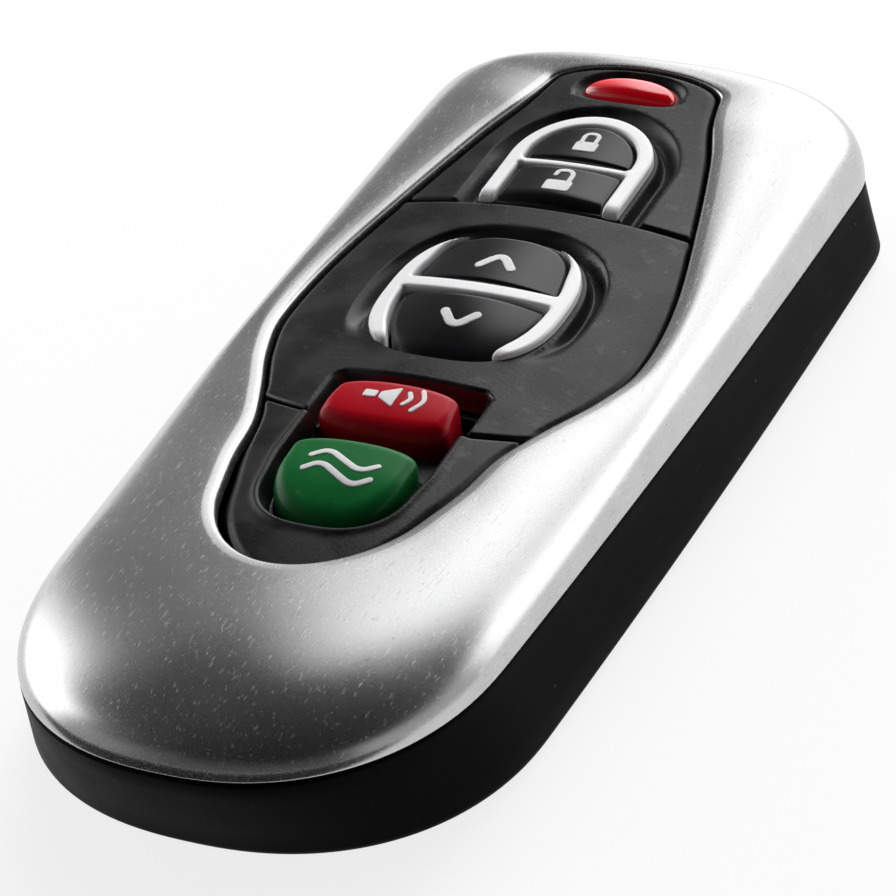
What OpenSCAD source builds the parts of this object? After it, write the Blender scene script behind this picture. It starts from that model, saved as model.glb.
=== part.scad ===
// Car key fob: silver top cover over a black case, three key panels, six push buttons,
// a circuit board and a coin cell behind a bayonet door.
// Millimetres, Z up, Y toward the indicator lens, origin under the middle of the case.

/* [Case] */
// length of the case along the parting line
case_l = 84; // [82.4:0.2:90]
// width across the foot of the case
foot_w = 38; // [37:0.2:41]
// width across the parting line
part_w = 35; // [34.4:0.1:37]
// height of the parting line at the rounded near end
near_z = 7.5; // [7:0.1:7.8]
// height of the parting line at the lens end
far_z = 5.1; // [5:0.1:6]
// wall thickness of case and cover
wall = 1.6; // [1.2:0.1:1.8]
// thickness of the case floor
floor_t = 1.4; // [1.2:0.1:1.5]

/* [Cover opening] */
// widest half width of the opening
open_w = 13.1; // [12.6:0.1:13.4]
// lens end of the opening
open_far = 38.4; // [38:0.1:38.6]
// rounded near end of the opening
open_near = -25.2; // [-26:0.1:-24.6]
// height of the panels at the middle of the fob
panel_z = 11.5; // [11.3:0.05:11.8]
// radius of the crown across the panels
crown_r = 64; // [54:1:80]
// clearance round the panels
panel_gap = 0.35; // [0.25:0.05:0.5]
// width of the rounded lip round the opening
lip_w = 1.5; // [1.1:0.1:1.8]

/* [Buttons] */
// button travel
travel = 0.5; // [0.3:0.05:0.5]
// clearance between a button and its neighbours
button_gap = 0.2; // [0.15:0.01:0.3]
// outer radius of the arch trim
arch_r = 5.45; // [5.2:0.05:5.6]
// middle of the arch
arch_y = 25.5; // [25.2:0.1:26]
// half width of the oval pair
oval_a = 6.85; // [6.5:0.05:7]
// half length of the oval pair
oval_b = 7.5; // [7.3:0.05:7.7]
// middle of the oval pair
oval_y = 7; // [6.8:0.05:7.2]
// half width of the red button at its near side
red_w = 4.75; // [4.6:0.05:4.85]
// length of the red button
red_l = 3.6; // [3.4:0.05:3.7]
// middle of the red button
red_y = -6.9; // [-7.1:0.05:-6.8]
// half width of the green button at its far side
green_w = 4.3; // [4.1:0.05:4.4]
// length of the green button
green_l = 7.5; // [7.2:0.05:7.7]
// middle of the green button
green_y = -15.35; // [-15.5:0.05:-15.2]

/* [Inside] */
// coin cell diameter
cell_d = 20; // [18:0.1:20.4]
// coin cell thickness
cell_t = 3.2; // [2:0.1:3.3]
// circuit board thickness
pcb_t = 0.8; // [0.6:0.1:0.9]
// battery door diameter
door_d = 23; // [22.6:0.1:24]
// keyring pin diameter
pin_d = 2; // [1.6:0.1:2.2]
// case screw thread diameter
screw_d = 1.8; // [1.6:0.1:1.9]
// case screw head diameter
head_d = 3.4; // [3:0.1:3.6]

/* [Hidden] */
$fn = 64;
m = 34;
near_y = -case_l / 2;
far_y = case_l / 2;
foot_near = near_y + 2.0;
foot_far = far_y - 1.1;
usual_l = 84;
pitch = case_l / usual_l;
lens_end = open_far * pitch;
near_tip = open_near * pitch;
arch_c = arch_y * pitch;
oval_c = oval_y * pitch;
red_c = red_y * pitch;
green_c = green_y * pitch;
red_near = red_c - red_l / 2;
red_far = red_c + red_l / 2;
green_near = green_c - green_l / 2;
green_far = green_c + green_l / 2;
cell_y = -6 * pitch;
cell_z = floor_t + 0.3;
pcb_z = 5.4;
pcb_top = pcb_z + pcb_t;
mat_t = 0.4;
carrier_z = 7.0;
carrier_t = 0.6;
boss_h = 1.1;
panel_b = carrier_z + carrier_t;
flange_t = 0.6;
key_z = panel_b + 0.1 + travel;
key_t = 0.7;
pocket_z = key_z + key_t + 0.1;
well_z = pocket_z + 0.9;
seam_w = 0.3;
trim_w = 1.15;
arc_w = 1.35;
arch_foot = arch_c - 6.05;
seam_y = arch_foot - 0.25;
bar_y = arch_c - 0.9;
bar_t = 0.85;
oval_bar_y = oval_c + 0.85;
oval_bar_t = 1.3;
pin_y = foot_far - 2.0;
pin_z = 2.2;
ring_y = pin_y - pin_d / 2 - 4.7;
far_screw_x = 13.2;
far_screw_y = 25 * pitch;
near_screw_x = 11;
near_screw_y = -27 * pitch;
screws = [[far_screw_x, far_screw_y], [-far_screw_x, far_screw_y], [near_screw_x, near_screw_y],
  [-near_screw_x, near_screw_y]];
keys = [arch_c + 1.6, arch_c - 3.4, oval_c + 4.3, oval_c - 3.6, red_c, green_c - 0.05];
lens_y = lens_end - 2.5;
lens_w = 3.75;
lens_l = 1.8;
mat_w = 8.5;
mat_near = green_c - 4.65;
mat_far = arch_c + 6;
dome_d = 3.4;
chip_w = 6;
chip_t = 1;
chip_y = 10.5 * pitch;
radio_w = 4;
radio_t = 0.9;
crystal_w = 2.5;
crystal_l = 3.2;
crystal_t = 0.8;
coil_y = 21.9 * pitch;
coil_l = 8.8;
coil_w = 1.6;
cheek_t = 1.2;
cheek_w = 3.4;
cheek_h = 2.6;
cap_y = 18.4 * pitch;
cap_l = 1.6;
cap_w = 0.8;
cap_step = 3;
led_w = 1.6;
led_t = 0.6;

// height of the parting line at a station along the case
function part_z(y) = near_z + (far_z - near_z) * (y - near_y) / case_l;

// falls from 1 to 0 as u runs from 0 to 1, like a superellipse of exponent e
function cap(u, e) = pow(max(1 - pow(min(max(u, 0), 1), e), 0), 1 / e);

// station i of n along a length, close together at both ends
function station(i, n, a, b) = (a + b) / 2 - (b - a) / 2 * cos(180 * (i + 0.5) / n);

// closed outline from the half widths hs at stations ys, anticlockwise from the near tip
function both_sides(ys, hs) = let(n = len(ys))
  [for (i = [0:2 * n - 1]) i < n ? [hs[i], ys[i]] : [-hs[2 * n - 1 - i], ys[2 * n - 1 - i]]];

// outline of the case at a width between two tips: bowed sides, round near end, flatter lens end
function case_half(y, w, a, b) = (w / 2 - 0.00045 * pow(y - 25, 2)) * cap((a + 16.5 - y) / 16.5, 2.32)
  * cap((y - b + 7.4) / 7.4, 3.3);
function case_ring(w, a, b) = let(ys = [for (i = [0:m - 1]) station(i, m, a, b)])
  both_sides(ys, [for (y = ys) case_half(y, w, a, b)]);

// outline moved inward by d
function inset(p, d) = let(n = len(p))
  [for (i = [0:n - 1]) let(t = p[(i + 1) % n] - p[(i + n - 1) % n], k = d / norm(t))
    p[i] + [-t[1], t[0]] * k];

// smooth value between the points of a list of [place, value] pairs
function slope(q, i) = let(a = q[max(i - 1, 0)], b = q[min(i + 1, len(q) - 1)]) (b[1] - a[1]) / (b[0] - a[0]);
function find(q, t, i = 0) = (i >= len(q) - 2 || t < q[i + 1][0]) ? i : find(q, t, i + 1);
function smooth(q, t) = let(i = find(q, t), h = q[i + 1][0] - q[i][0], u = (t - q[i][0]) / h,
  v = 1 - u) q[i][1] * v * v * (1 + 2 * u) + q[i + 1][1] * u * u * (1 + 2 * v)
  + h * u * v * (slope(q, i) * v - slope(q, i + 1) * u);

// half width of the cover's opening: narrow at the lens, widest at the oval, a tongue at the near end
open_side = [for (q = [[open_near, 5.8], [-20, 6.4], [-14, 7.7], [-9.6, 8.4], [-5.6, open_w - 3.2],
  [-1, open_w - 1.1], [3.5, open_w], [10.8, open_w - 0.55], [20, 10.5], [28.5, 8.3], [33, 7.0],
  [open_far, 6.2]]) [q[0] * pitch, q[1]]];
open_ys = [for (i = [0:m - 1]) station(i, m, near_tip, lens_end)];
open_ring = both_sides(open_ys, [for (y = open_ys) smooth(open_side, y)
  * cap((near_tip + 7 - y) / 7, 2) * cap((y - lens_end + 2) / 2, 2.2)]);

// height of the lip's inner edge, higher toward both ends
function lip_z(p) = panel_z - 0.1 - 0.75 * pow(p[0] / 10, 2) + 0.7 * pow((p[1] + 5.9) / 37.6, 2);

// outline with a superellipse near end and far end and straight sides between
function blob(wa, wb, a, b, ra, rb, ea, eb, n = 20) = let(ys = [for (i = [0:n - 1]) station(i, n, a, b)])
  both_sides(ys, [for (y = ys) (wa + (wb - wa) * (y - a) / (b - a))
    * cap((a + ra - y) / ra, ea) * cap((y - b + rb) / rb, eb)]);
function arch(r, foot) = concat([[r, foot]], [for (i = [0:24]) let(y = arch_c + r * sin(7.5 * i))
  if (y > foot + 0.6) [r * cos(7.5 * i), y]], [[-r, foot]]);
function oval(a, b, n = 72) = [for (i = [0:n - 1]) let(t = 360 * i / n, c = cos(t), s = sin(t))
  [a * sign(c) * pow(abs(c), 0.74), oval_c + b * sign(s) * pow(abs(s), 0.74)]];
red_ring = blob(red_w, red_w - 0.7, red_near, red_far, 1.1, 1.1, 2.2, 2.2);
green_ring = blob(green_w - 0.3, green_w, green_near, green_far, 0.8 * green_l, 1.3, 2.2, 2.4, 26);

// solid skin through a list of rings, closed at both ends or joined round on itself
module skin(rings, ring_shaped = false) {
  n = len(rings[0]);
  k = len(rings);
  last = ring_shaped ? k - 1 : k - 2;
  sides = [for (r = [0:last]) for (i = [0:n - 1])
    let(a = r * n + i, b = r * n + (i + 1) % n, c = ((r + 1) % k) * n + i, d = ((r + 1) % k) * n + (i + 1) % n)
    each [[a, d, b], [a, c, d]]];
  ends = ring_shaped ? [] : [[for (i = [0:n - 1]) i], [for (i = [n - 1:-1:0]) (k - 1) * n + i]];
  polyhedron(points = [for (r = rings) each r], faces = concat(sides, ends));
}

function flat(p, z) = [for (q = p) [q[0], q[1], z]];
function on_part(p) = [for (q = p) [q[0], q[1], part_z(q[1])]];
function mix(p, q, t) = [for (i = [0:len(p) - 1]) p[i] * (1 - t) + q[i] * t];

foot = case_ring(foot_w, foot_near, foot_far);
rim = case_ring(part_w, near_y, far_y);
rim_in = inset(rim, wall);

// plan areas of the three panels, between the seams
function seam2(x) = red_near + 0.1 + 0.021 * x * x;
far_area = [[-20, seam_y + seam_w / 2], [20, seam_y + seam_w / 2], [20, 50], [-20, 50]];
mid_area = concat([for (x = [-20:2:20]) [x, seam2(x) + seam_w / 2]],
  [[20, seam_y - seam_w / 2], [-20, seam_y - seam_w / 2]]);
near_area = concat([for (x = [20:-2:-20]) [x, seam2(x) - seam_w / 2]], [[-20, -50], [20, -50]]);

// everything below a crown raised by h over the panels
module crown(h) {
  translate([0, 3.5, panel_z + h - crown_r])
    rotate([atan(0.012), 0, 0])
      rotate([90, 0, 0])
        cylinder(r = crown_r, h = 120, center = true, $fn = 240);
}

// prism of an outline between two heights
module prism(p, a, b) {
  translate([0, 0, a])
    linear_extrude(b - a)
      polygon(p);
}

module area_prism(p, area, a, b) {
  translate([0, 0, a])
    linear_extrude(b - a)
      intersection() {
        polygon(p);
        polygon(area);
      }
}

// panel body under the crown with its flange under the cover's lip
module panel_blank(area) {
  intersection() {
    area_prism(inset(open_ring, panel_gap), area, panel_b, 14);
    crown(0);
  }
  area_prism(inset(open_ring, -0.9), area, panel_b, panel_b + flange_t);
}

module base_case() {
  color([0.03, 0.03, 0.035]) difference() {
    union() {
      skin([flat(inset(foot, 0.8), 0), flat(inset(foot, 0.25), 0.25), flat(foot, 0.8),
        mix(flat(foot, 0.8), on_part(rim), 0.5), on_part(rim), on_part(rim_in),
        flat(inset(foot, wall + 0.6), floor_t)]);
      for (s = screws) translate([s[0], s[1], 0.5]) cylinder(d = head_d + 1.2, h = pcb_z - 0.5);
      translate([-6.7, ring_y - 1.2, 0.6]) cube([13.4, foot_far + 0.3 - ring_y, 4.3]);
    }
    for (s = screws) {
      translate([s[0], s[1], -1]) cylinder(d = head_d + 0.4, h = 2.2);
      translate([s[0], s[1], -1]) cylinder(d = screw_d + 0.3, h = 9);
    }
    translate([-5.5, ring_y, -1]) cube([11, 14, 5.15]);
    translate([0, pin_y, pin_z]) rotate([0, 90, 0]) cylinder(d = pin_d + 0.04, h = 14, center = true);
    translate([0, cell_y, -1]) cylinder(d = door_d + 0.3, h = 6);
    translate([0, cell_y, -1]) cylinder(d = door_d + 4.3, h = 1.65);
    for (a = [75, 195, 315])
      translate([0, cell_y, -1])
        rotate([0, 0, a])
          translate([0, -1.9, 0])
            cube([door_d / 2 + 1.3, 3.8, 6]);
  }
}

module battery_door() {
  color([0.05, 0.05, 0.055]) translate([0, cell_y, 0]) difference() {
    union() {
      rotate_extrude()
        polygon([[0, 0], [door_d / 2 + 1.8, 0], [door_d / 2 + 2, 0.2], [door_d / 2 + 2, 0.6], [door_d / 2, 0.6],
          [door_d / 2, 0.75], [door_d / 2 - 0.55, 0.75], [door_d / 2 - 0.55, 1.25], [door_d / 2, 1.25],
          [door_d / 2, floor_t], [0, floor_t]]);
      for (a = [30, 150, 270])
        rotate([0, 0, a])
          translate([door_d / 2 - 1.1, -1.6, floor_t])
            cube([2.2, 3.2, 0.6]);
    }
    translate([-4.5, -0.8, -1]) cube([9, 1.6, 1.6]);
    for (a = [30, 150, 270])
      rotate([0, 0, a])
        translate([door_d / 2 - 0.02, -1.8, floor_t - 0.02])
          cube([3, 3.6, 0.07]);
  }
}

module door_seal() {
  color([0.25, 0.08, 0.06]) translate([0, cell_y, 1.0])
    rotate_extrude()
      translate([door_d / 2 - 0.27, 0])
        circle(r = 0.24, $fn = 24);
}

module coin_cell() {
  color([0.75, 0.75, 0.76]) translate([0, cell_y, cell_z]) rotate_extrude()
    polygon([[0, 0], [cell_d / 2 - 0.3, 0], [cell_d / 2, 0.3], [cell_d / 2, cell_t - 0.4],
      [cell_d / 2 - 1.2, cell_t - 0.4], [cell_d / 2 - 1.4, cell_t], [0, cell_t]]);
}

module positive_contact() {
  color([0.8, 0.72, 0.5]) {
    translate([cell_d / 2 + 0.05, cell_y - 2.5, cell_z + 0.4]) cube([0.3, 5, pcb_z - cell_z - 0.4]);
    translate([cell_d / 2 + 0.05, cell_y - 2.5, pcb_z - 0.3]) cube([2.4, 5, 0.3]);
  }
}

module negative_contact() {
  color([0.8, 0.72, 0.5]) {
    translate([-2, cell_y - 5, cell_z + cell_t + 0.05]) cube([4, 10, 0.2]);
    translate([-2, cell_y - 5, cell_z + cell_t + 0.05]) cube([4, 1.2, pcb_z - cell_z - cell_t - 0.05]);
  }
}

module pcb() {
  board = [for (p = inset(rim, wall + 1.6)) [p[0], min(p[1], far_y - 5.2)]];
  color([0.05, 0.28, 0.16]) difference() {
    prism(board, pcb_z, pcb_top);
    for (s = screws) translate([s[0], s[1], 0]) cylinder(d = screw_d + 0.5, h = 20);
  }
}

module microcontroller() {
  color([0.08, 0.08, 0.09]) translate([-8, chip_y, pcb_z - chip_t]) cube([chip_w, chip_w, chip_t]);
}

module rf_chip() {
  color([0.09, 0.09, 0.1]) translate([2.5, chip_y + 0.5, pcb_z - radio_t]) cube([radio_w, radio_w, radio_t]);
}

module crystal() {
  color([0.72, 0.72, 0.7]) translate([8.2, chip_y + 1, pcb_z - crystal_t])
    cube([crystal_w, crystal_l, crystal_t]);
}

module coil_core() {
  color([0.2, 0.19, 0.19]) {
    for (x = [-coil_l / 2 - cheek_t, coil_l / 2])
      translate([x, coil_y - cheek_w / 2, pcb_z - cheek_h]) cube([cheek_t, cheek_w, cheek_h]);
    translate([-coil_l / 2, coil_y - coil_w / 2, pcb_z - cheek_h + 0.5]) cube([coil_l, coil_w, coil_w]);
  }
}

module coil_winding() {
  color([0.65, 0.32, 0.15]) translate([-coil_l / 2 + 0.2, coil_y, pcb_z - cheek_h]) difference() {
    translate([0, -coil_w / 2 - 0.5, 0.1]) cube([coil_l - 0.4, coil_w + 1, coil_w + 0.8]);
    translate([-1, -coil_w / 2 - 0.05, 0.45]) cube([coil_l + 2, coil_w + 0.1, coil_w + 0.1]);
  }
}

module capacitors() {
  color([0.6, 0.5, 0.38])
    for (i = [0:5])
      translate([(i - 2.5) * cap_step - cap_l / 2 + 1.3, cap_y - cap_w / 2, pcb_z - cap_w])
        cube([cap_l, cap_w, cap_w]);
}

module led() {
  color([0.9, 0.85, 0.8]) translate([-led_w / 2, lens_y - led_w / 4, pcb_top]) cube([led_w, led_w / 2, led_t]);
}

module keypad_mat() {
  sheet = blob(mat_w, mat_w, mat_near, mat_far, 3, 3, 2, 2, 14);
  color([0.2, 0.2, 0.22]) difference() {
    prism(sheet, pcb_top, pcb_top + mat_t);
    for (y = keys) translate([0, y, 0]) cylinder(d = dome_d + 0.5, h = 20);
  }
}

// silicone dome between the board and a button, hollow under a thick tip
module dome(y) {
  color([0.3, 0.3, 0.33]) translate([0, y, pcb_top]) rotate_extrude()
    polygon([[dome_d / 2 - 0.45, 0], [dome_d / 2, 0], [dome_d / 2, mat_t], [dome_d / 2 - 0.3, key_z - pcb_top],
      [0, key_z - pcb_top], [0, key_z - pcb_top - 0.9], [dome_d / 2 - 0.9, key_z - pcb_top - 0.9],
      [dome_d / 2 - 0.9, key_z - pcb_top - 0.4], [dome_d / 2 - 0.7, key_z - pcb_top - 0.4]]);
}

module lock_dome() {
  dome(keys[0]);
}

module unlock_dome() {
  dome(keys[1]);
}

module up_dome() {
  dome(keys[2]);
}

module down_dome() {
  dome(keys[3]);
}

module red_dome() {
  dome(keys[4]);
}

module green_dome() {
  dome(keys[5]);
}

module carrier() {
  color([0.07, 0.07, 0.075]) difference() {
    union() {
      prism(inset(rim, wall + 1.6), carrier_z, panel_b);
      for (s = screws) translate([s[0], s[1], carrier_z]) cylinder(d = screw_d + 1.5, h = boss_h);
    }
    for (s = screws) translate([s[0], s[1], 0]) cylinder(d = screw_d + 0.1, h = 20);
    for (y = keys) translate([0, y, 0]) cylinder(d = dome_d + 1, h = 20);
    translate([-lens_w + 0.55, lens_y - 1.2, 0]) cube([2 * lens_w - 1.1, 2.4, 20]);
  }
}

module upper_panel() {
  color([0.10, 0.10, 0.11]) difference() {
    panel_blank(far_area);
    prism(inset(arch(arch_r, 0), -1.4), well_z, 20);
    prism(concat(arch(arch_r - trim_w, bar_y + bar_t / 2)), 0, 20);
    translate([-(arch_r - trim_w), 0, 0]) cube([2 * (arch_r - trim_w), bar_y - bar_t / 2, 20]);
    translate([-arch_r + 0.4, bar_y + bar_t / 2, 0]) cube([2 * arch_r - 0.8, arch_r - 0.6, pocket_z]);
    translate([-arch_r + 0.4, 0, 0]) cube([2 * arch_r - 0.8, bar_y - bar_t / 2, pocket_z]);
    prism(inset(lens_ring(), -0.12), 0, 20);
  }
}

module middle_panel() {
  color([0.10, 0.10, 0.11]) difference() {
    panel_blank(mid_area);
    prism(oval(oval_a + 1.0, oval_b + 1.0), well_z, 20);
    difference() {
      prism(oval(oval_a - arc_w, oval_b), 0, 20);
      translate([-10, oval_bar_y - oval_bar_t / 2, 0]) cube([20, oval_bar_t, 20]);
    }
    translate([-oval_a + 0.65, oval_bar_y + oval_bar_t / 2, 0])
      cube([2 * oval_a - 1.3, oval_b - 2.3, pocket_z]);
    translate([-oval_a + 0.65, oval_c - oval_b + 0.6, 0])
      cube([2 * oval_a - 1.3, oval_b + 0.25 - oval_bar_t / 2, pocket_z]);
    prism(inset(red_ring, -button_gap), 0, 20);
    translate([-red_w - 0.75, red_far - 20, well_z]) cube([2 * red_w + 1.5, 21.5, 20]);
    translate([-red_w - 0.75, red_far - 20, 0]) cube([2 * red_w + 1.5, 19.8, pocket_z]);
    translate([-red_w - button_gap, red_c - 20, 0]) cube([2 * (red_w + button_gap), 19.9, 20]);
  }
}

module lower_panel() {
  color([0.10, 0.10, 0.11]) difference() {
    panel_blank(near_area);
    prism(inset(green_ring, -0.7), well_z, 20);
    translate([-green_w - 0.8, green_far - 1.8, well_z]) cube([2 * green_w + 1.6, 10, 20]);
    prism(inset(green_ring, -button_gap), 0, 20);
    prism(inset(red_ring, -button_gap), 0, 20);
    translate([-green_w - 0.7, green_near + 1.3, 0]) cube([2 * green_w + 1.4, green_l - 1.6, pocket_z]);
    translate([-red_w - 0.75, red_near - 0.5, 0]) cube([2 * red_w + 1.5, 5, pocket_z]);
  }
}

function lens_ring() = [for (i = [0:35]) let(t = 10 * i, c = cos(t), s = sin(t))
  [lens_w * sign(c) * pow(abs(c), 0.8),
    lens_y - 0.2 + (s > 0 ? lens_l : lens_l / 2) * sign(s) * pow(abs(s), 0.8)]];

module indicator_lens() {
  color([0.75, 0.02, 0.05]) {
    intersection() {
      prism(lens_ring(), panel_b, 20);
      crown(0.35);
    }
  }
}

module upper_trim() {
  color([0.9, 0.9, 0.9]) intersection() {
    difference() {
      prism(arch(arch_r, arch_foot), well_z, 20);
      difference() {
        prism(arch(arch_r - trim_w, 0), 0, 20);
        translate([-10, bar_y - bar_t / 2, 0]) cube([20, bar_t, 20]);
      }
    }
    crown(0.5);
  }
}

module middle_trim() {
  color([0.9, 0.9, 0.9]) intersection() {
    difference() {
      prism(oval(oval_a, oval_b), well_z, 20);
      difference() {
        prism(oval(oval_a - arc_w, oval_b + 0.01), 0, 20);
        translate([-10, oval_bar_y - oval_bar_t / 2, 0]) cube([20, oval_bar_t, 20]);
      }
      translate([-20, oval_c - oval_b - 1, 0]) cube([40, 1.6 + 1, 20]);
      translate([-20, oval_c + oval_b - 0.35, 0]) cube([40, 5, 20]);
    }
    crown(0.5);
  }
}

// button with a stepped rim under a crown, its flange held below the panel
module button(p, area, x, y0, y1, h) {
  q = inset(p, 0.45);
  intersection() {
    union() {
      area_prism(p, area, key_z, panel_z + h - 0.75);
      area_prism(q, area, key_z, 20);
    }
    crown(h);
  }
  translate([-x, y0, key_z]) cube([2 * x, y1 - y0, key_t]);
}

function band(a, b) = [[-20, a], [20, a], [20, b], [-20, b]];

module lock_button() {
  color([0.16, 0.16, 0.18]) button(arch(arch_r - trim_w - button_gap, bar_y + bar_t / 2 + button_gap),
    band(bar_y, 50), arch_r - 0.7, bar_y + bar_t / 2 + 0.3, bar_y + bar_t / 2 + arch_r - 1.1, 0.4);
}

module unlock_button() {
  w = arch_r - trim_w - button_gap;
  color([0.16, 0.16, 0.18]) button([[w, arch_foot], [w, bar_y - bar_t / 2 - button_gap],
    [-w, bar_y - bar_t / 2 - button_gap], [-w, arch_foot]], band(0, 50), arch_r - 0.7, arch_foot + 0.2,
    bar_y - bar_t / 2 - 0.3, 0.4);
}

module up_button() {
  p = oval(oval_a - arc_w - button_gap, oval_b - button_gap);
  a = oval_bar_y + oval_bar_t / 2;
  color([0.16, 0.16, 0.18]) button(p, band(a + button_gap, 50), oval_a - 0.95, a + 0.3, a + oval_b - 2.6, 0.4);
}

module down_button() {
  p = oval(oval_a - arc_w - button_gap, oval_b - button_gap);
  a = oval_bar_y - oval_bar_t / 2;
  color([0.16, 0.16, 0.18]) button(p, band(-20, a - button_gap), oval_a - 0.95, oval_c - oval_b + 0.9,
    a - 0.3, 0.4);
}

module red_button() {
  color([0.7, 0.03, 0.08]) button(red_ring, band(-20, 20), red_w + 0.45, red_near + 0.2, red_far - 0.5, 0.75);
}

module green_button() {
  color([0.05, 0.4, 0.14]) button(green_ring, band(-40, 20), green_w + 0.4, green_near + 1.7,
    green_far - 0.6, 0.7);
}

module top_cover() {
  ridge = inset(open_ring, -lip_w);
  function top(i, t) = let(z = lip_z(ridge[i]) + 0.4)
    [rim[i][0] + (ridge[i][0] - rim[i][0]) * (1 - pow(cos(t), 0.87)),
    rim[i][1] + (ridge[i][1] - rim[i][1]) * (1 - pow(cos(t), 0.87)),
    part_z(rim[i][1]) + (z - part_z(rim[i][1])) * pow(sin(t), 0.87)];
  function lip(i, t) = let(z = lip_z(ridge[i]) + 0.4, e = lip_z(open_ring[i]))
    [ridge[i][0] + (open_ring[i][0] - ridge[i][0]) * sin(t),
    ridge[i][1] + (open_ring[i][1] - ridge[i][1]) * sin(t),
    z - (z - e) * (1 - cos(t))];
  function under(i, t) = let(z = lip_z(ridge[i]) - 0.9)
    [rim_in[i][0] + (ridge[i][0] - rim_in[i][0]) * (1 - cos(t)),
    rim_in[i][1] + (ridge[i][1] - rim_in[i][1]) * (1 - cos(t)),
    part_z(rim_in[i][1]) + (z - part_z(rim_in[i][1])) * sin(t)];
  k = [0:len(rim) - 1];
  color([0.72, 0.72, 0.73]) skin(concat(
    [for (t = [0, 8, 18, 30, 44, 58, 72, 84, 90]) [for (i = k) top(i, t)]],
    [for (t = [30, 60, 90]) [for (i = k) lip(i, t)]],
    [[for (i = k) [open_ring[i][0], open_ring[i][1], lip_z(open_ring[i]) - 0.8]]],
    [for (t = [90, 60, 30, 0]) [for (i = k) under(i, t)]]), true);
}

module case_screws() {
  color([0.55, 0.55, 0.57]) for (s = screws) translate([s[0], s[1], 0]) difference() {
    union() {
      translate([0, 0, 0.3]) cylinder(d = head_d, h = 0.9);
      translate([0, 0, 1.2]) cylinder(d = screw_d, h = carrier_z + boss_h - 1.4);
    }
    translate([-1.1, -0.25, 0]) cube([2.2, 0.5, 0.75]);
    translate([-0.25, -1.1, 0]) cube([0.5, 2.2, 0.75]);
  }
}

module keyring_pin() {
  color([0.7, 0.7, 0.71]) translate([0, pin_y, pin_z])
    rotate([0, 90, 0])
      cylinder(d = pin_d, h = 13, center = true);
}

base_case();
battery_door();
door_seal();
coin_cell();
positive_contact();
negative_contact();
pcb();
microcontroller();
rf_chip();
crystal();
coil_core();
coil_winding();
capacitors();
led();
keypad_mat();
lock_dome();
unlock_dome();
up_dome();
down_dome();
red_dome();
green_dome();
carrier();
upper_panel();
middle_panel();
lower_panel();
indicator_lens();
upper_trim();
middle_trim();
lock_button();
unlock_button();
up_button();
down_button();
red_button();
green_button();
top_cover();
case_screws();
keyring_pin();
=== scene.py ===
import math
import bmesh
import bpy
import numpy as np
from mathutils import Matrix, Vector
from mathutils.geometry import delaunay_2d_cdt


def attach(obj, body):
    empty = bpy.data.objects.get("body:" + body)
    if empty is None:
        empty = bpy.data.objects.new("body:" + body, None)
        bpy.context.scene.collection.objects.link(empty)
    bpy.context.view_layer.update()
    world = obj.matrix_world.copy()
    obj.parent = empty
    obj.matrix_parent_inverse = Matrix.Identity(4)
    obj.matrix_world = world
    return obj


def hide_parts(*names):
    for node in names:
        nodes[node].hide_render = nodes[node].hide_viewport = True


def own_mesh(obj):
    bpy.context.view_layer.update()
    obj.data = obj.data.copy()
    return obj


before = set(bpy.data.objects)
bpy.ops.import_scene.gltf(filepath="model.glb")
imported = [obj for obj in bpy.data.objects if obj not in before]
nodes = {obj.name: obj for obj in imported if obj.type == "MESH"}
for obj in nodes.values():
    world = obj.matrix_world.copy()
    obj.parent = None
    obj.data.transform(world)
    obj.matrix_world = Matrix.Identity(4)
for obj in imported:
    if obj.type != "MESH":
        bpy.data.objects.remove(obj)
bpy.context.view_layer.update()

# Lower case: a black moulded tray with a satin spark finish, flared toward its foot.
# The door bore, the screw seats and the keyring slot are moulded in, and the cover closes on its rim.
# Lengths are millimetres until a mesh is made; node trees, the lamp and the camera are in metres.
mm = 0.001
case_l = 83.9
foot_w = 38.0
part_w = 35.0
near_y = -case_l / 2
far_y = case_l / 2
foot_near = near_y + 2.0
foot_far = far_y - 1.1
near_z = 7.5
far_z = 5.1
wall = 1.6
floor_t = 1.4
cell_y = -6.0
door_r = 11.5
pin_y = foot_far - 2.0
pin_z = 2.2
slot_y = pin_y - 5.7
slot_half = 5.5
slot_wall = 1.2
slot_top = 4.15
post_r = 2.3
foot_r = 0.8
rim_r = 0.3
rim_drop = 0.35
screw_places = [(13.2, 25.0), (-13.2, 25.0), (11.0, -27.0), (-11.0, -27.0)]
side_n = 150
side_bow = 0.00045
widest_y = 25
near_round = 16.5
near_corner = 2.32
far_round = 7.4
foot_corner = 3.3
rim_corner = 3.8


def cap(u, e):
    """falls from 1 to 0 as u runs from 0 to 1, like a superellipse of exponent e"""
    return np.maximum(1 - np.clip(u, 0, 1) ** e, 0) ** (1 / e)


def part_z(y):
    """height of the parting line at a station along the case"""
    return near_z + (far_z - near_z) * (y - near_y) / case_l


def stations(n, a, b):
    """stations along a length, close together at both ends"""
    return (a + b) / 2 - (b - a) / 2 * np.cos(np.pi * (np.arange(n) + 0.5) / n)


def both_sides(ys, halves):
    """closed outline from half widths, anticlockwise from the near tip"""
    return np.concatenate([np.stack([halves, ys], 1), np.stack([-halves[::-1], ys[::-1]], 1)])


def case_ring(w, a, b, corner):
    """outline of the case: bowed sides, a round near end and a flatter lens end with fuller corners"""
    ys = stations(side_n, a, b)
    halves = w / 2 - side_bow * (ys - widest_y) ** 2
    near_end = cap((a + near_round - ys) / near_round, near_corner)
    far_end = cap((ys - b + far_round) / far_round, corner)
    return both_sides(ys, halves * near_end * far_end)


def inset(ring, d):
    """outline moved inward by d"""
    t = np.roll(ring, -1, 0) - np.roll(ring, 1, 0)
    t = t / np.linalg.norm(t, axis=1, keepdims=True)
    return ring + d * np.stack([-t[:, 1], t[:, 0]], 1)


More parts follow.
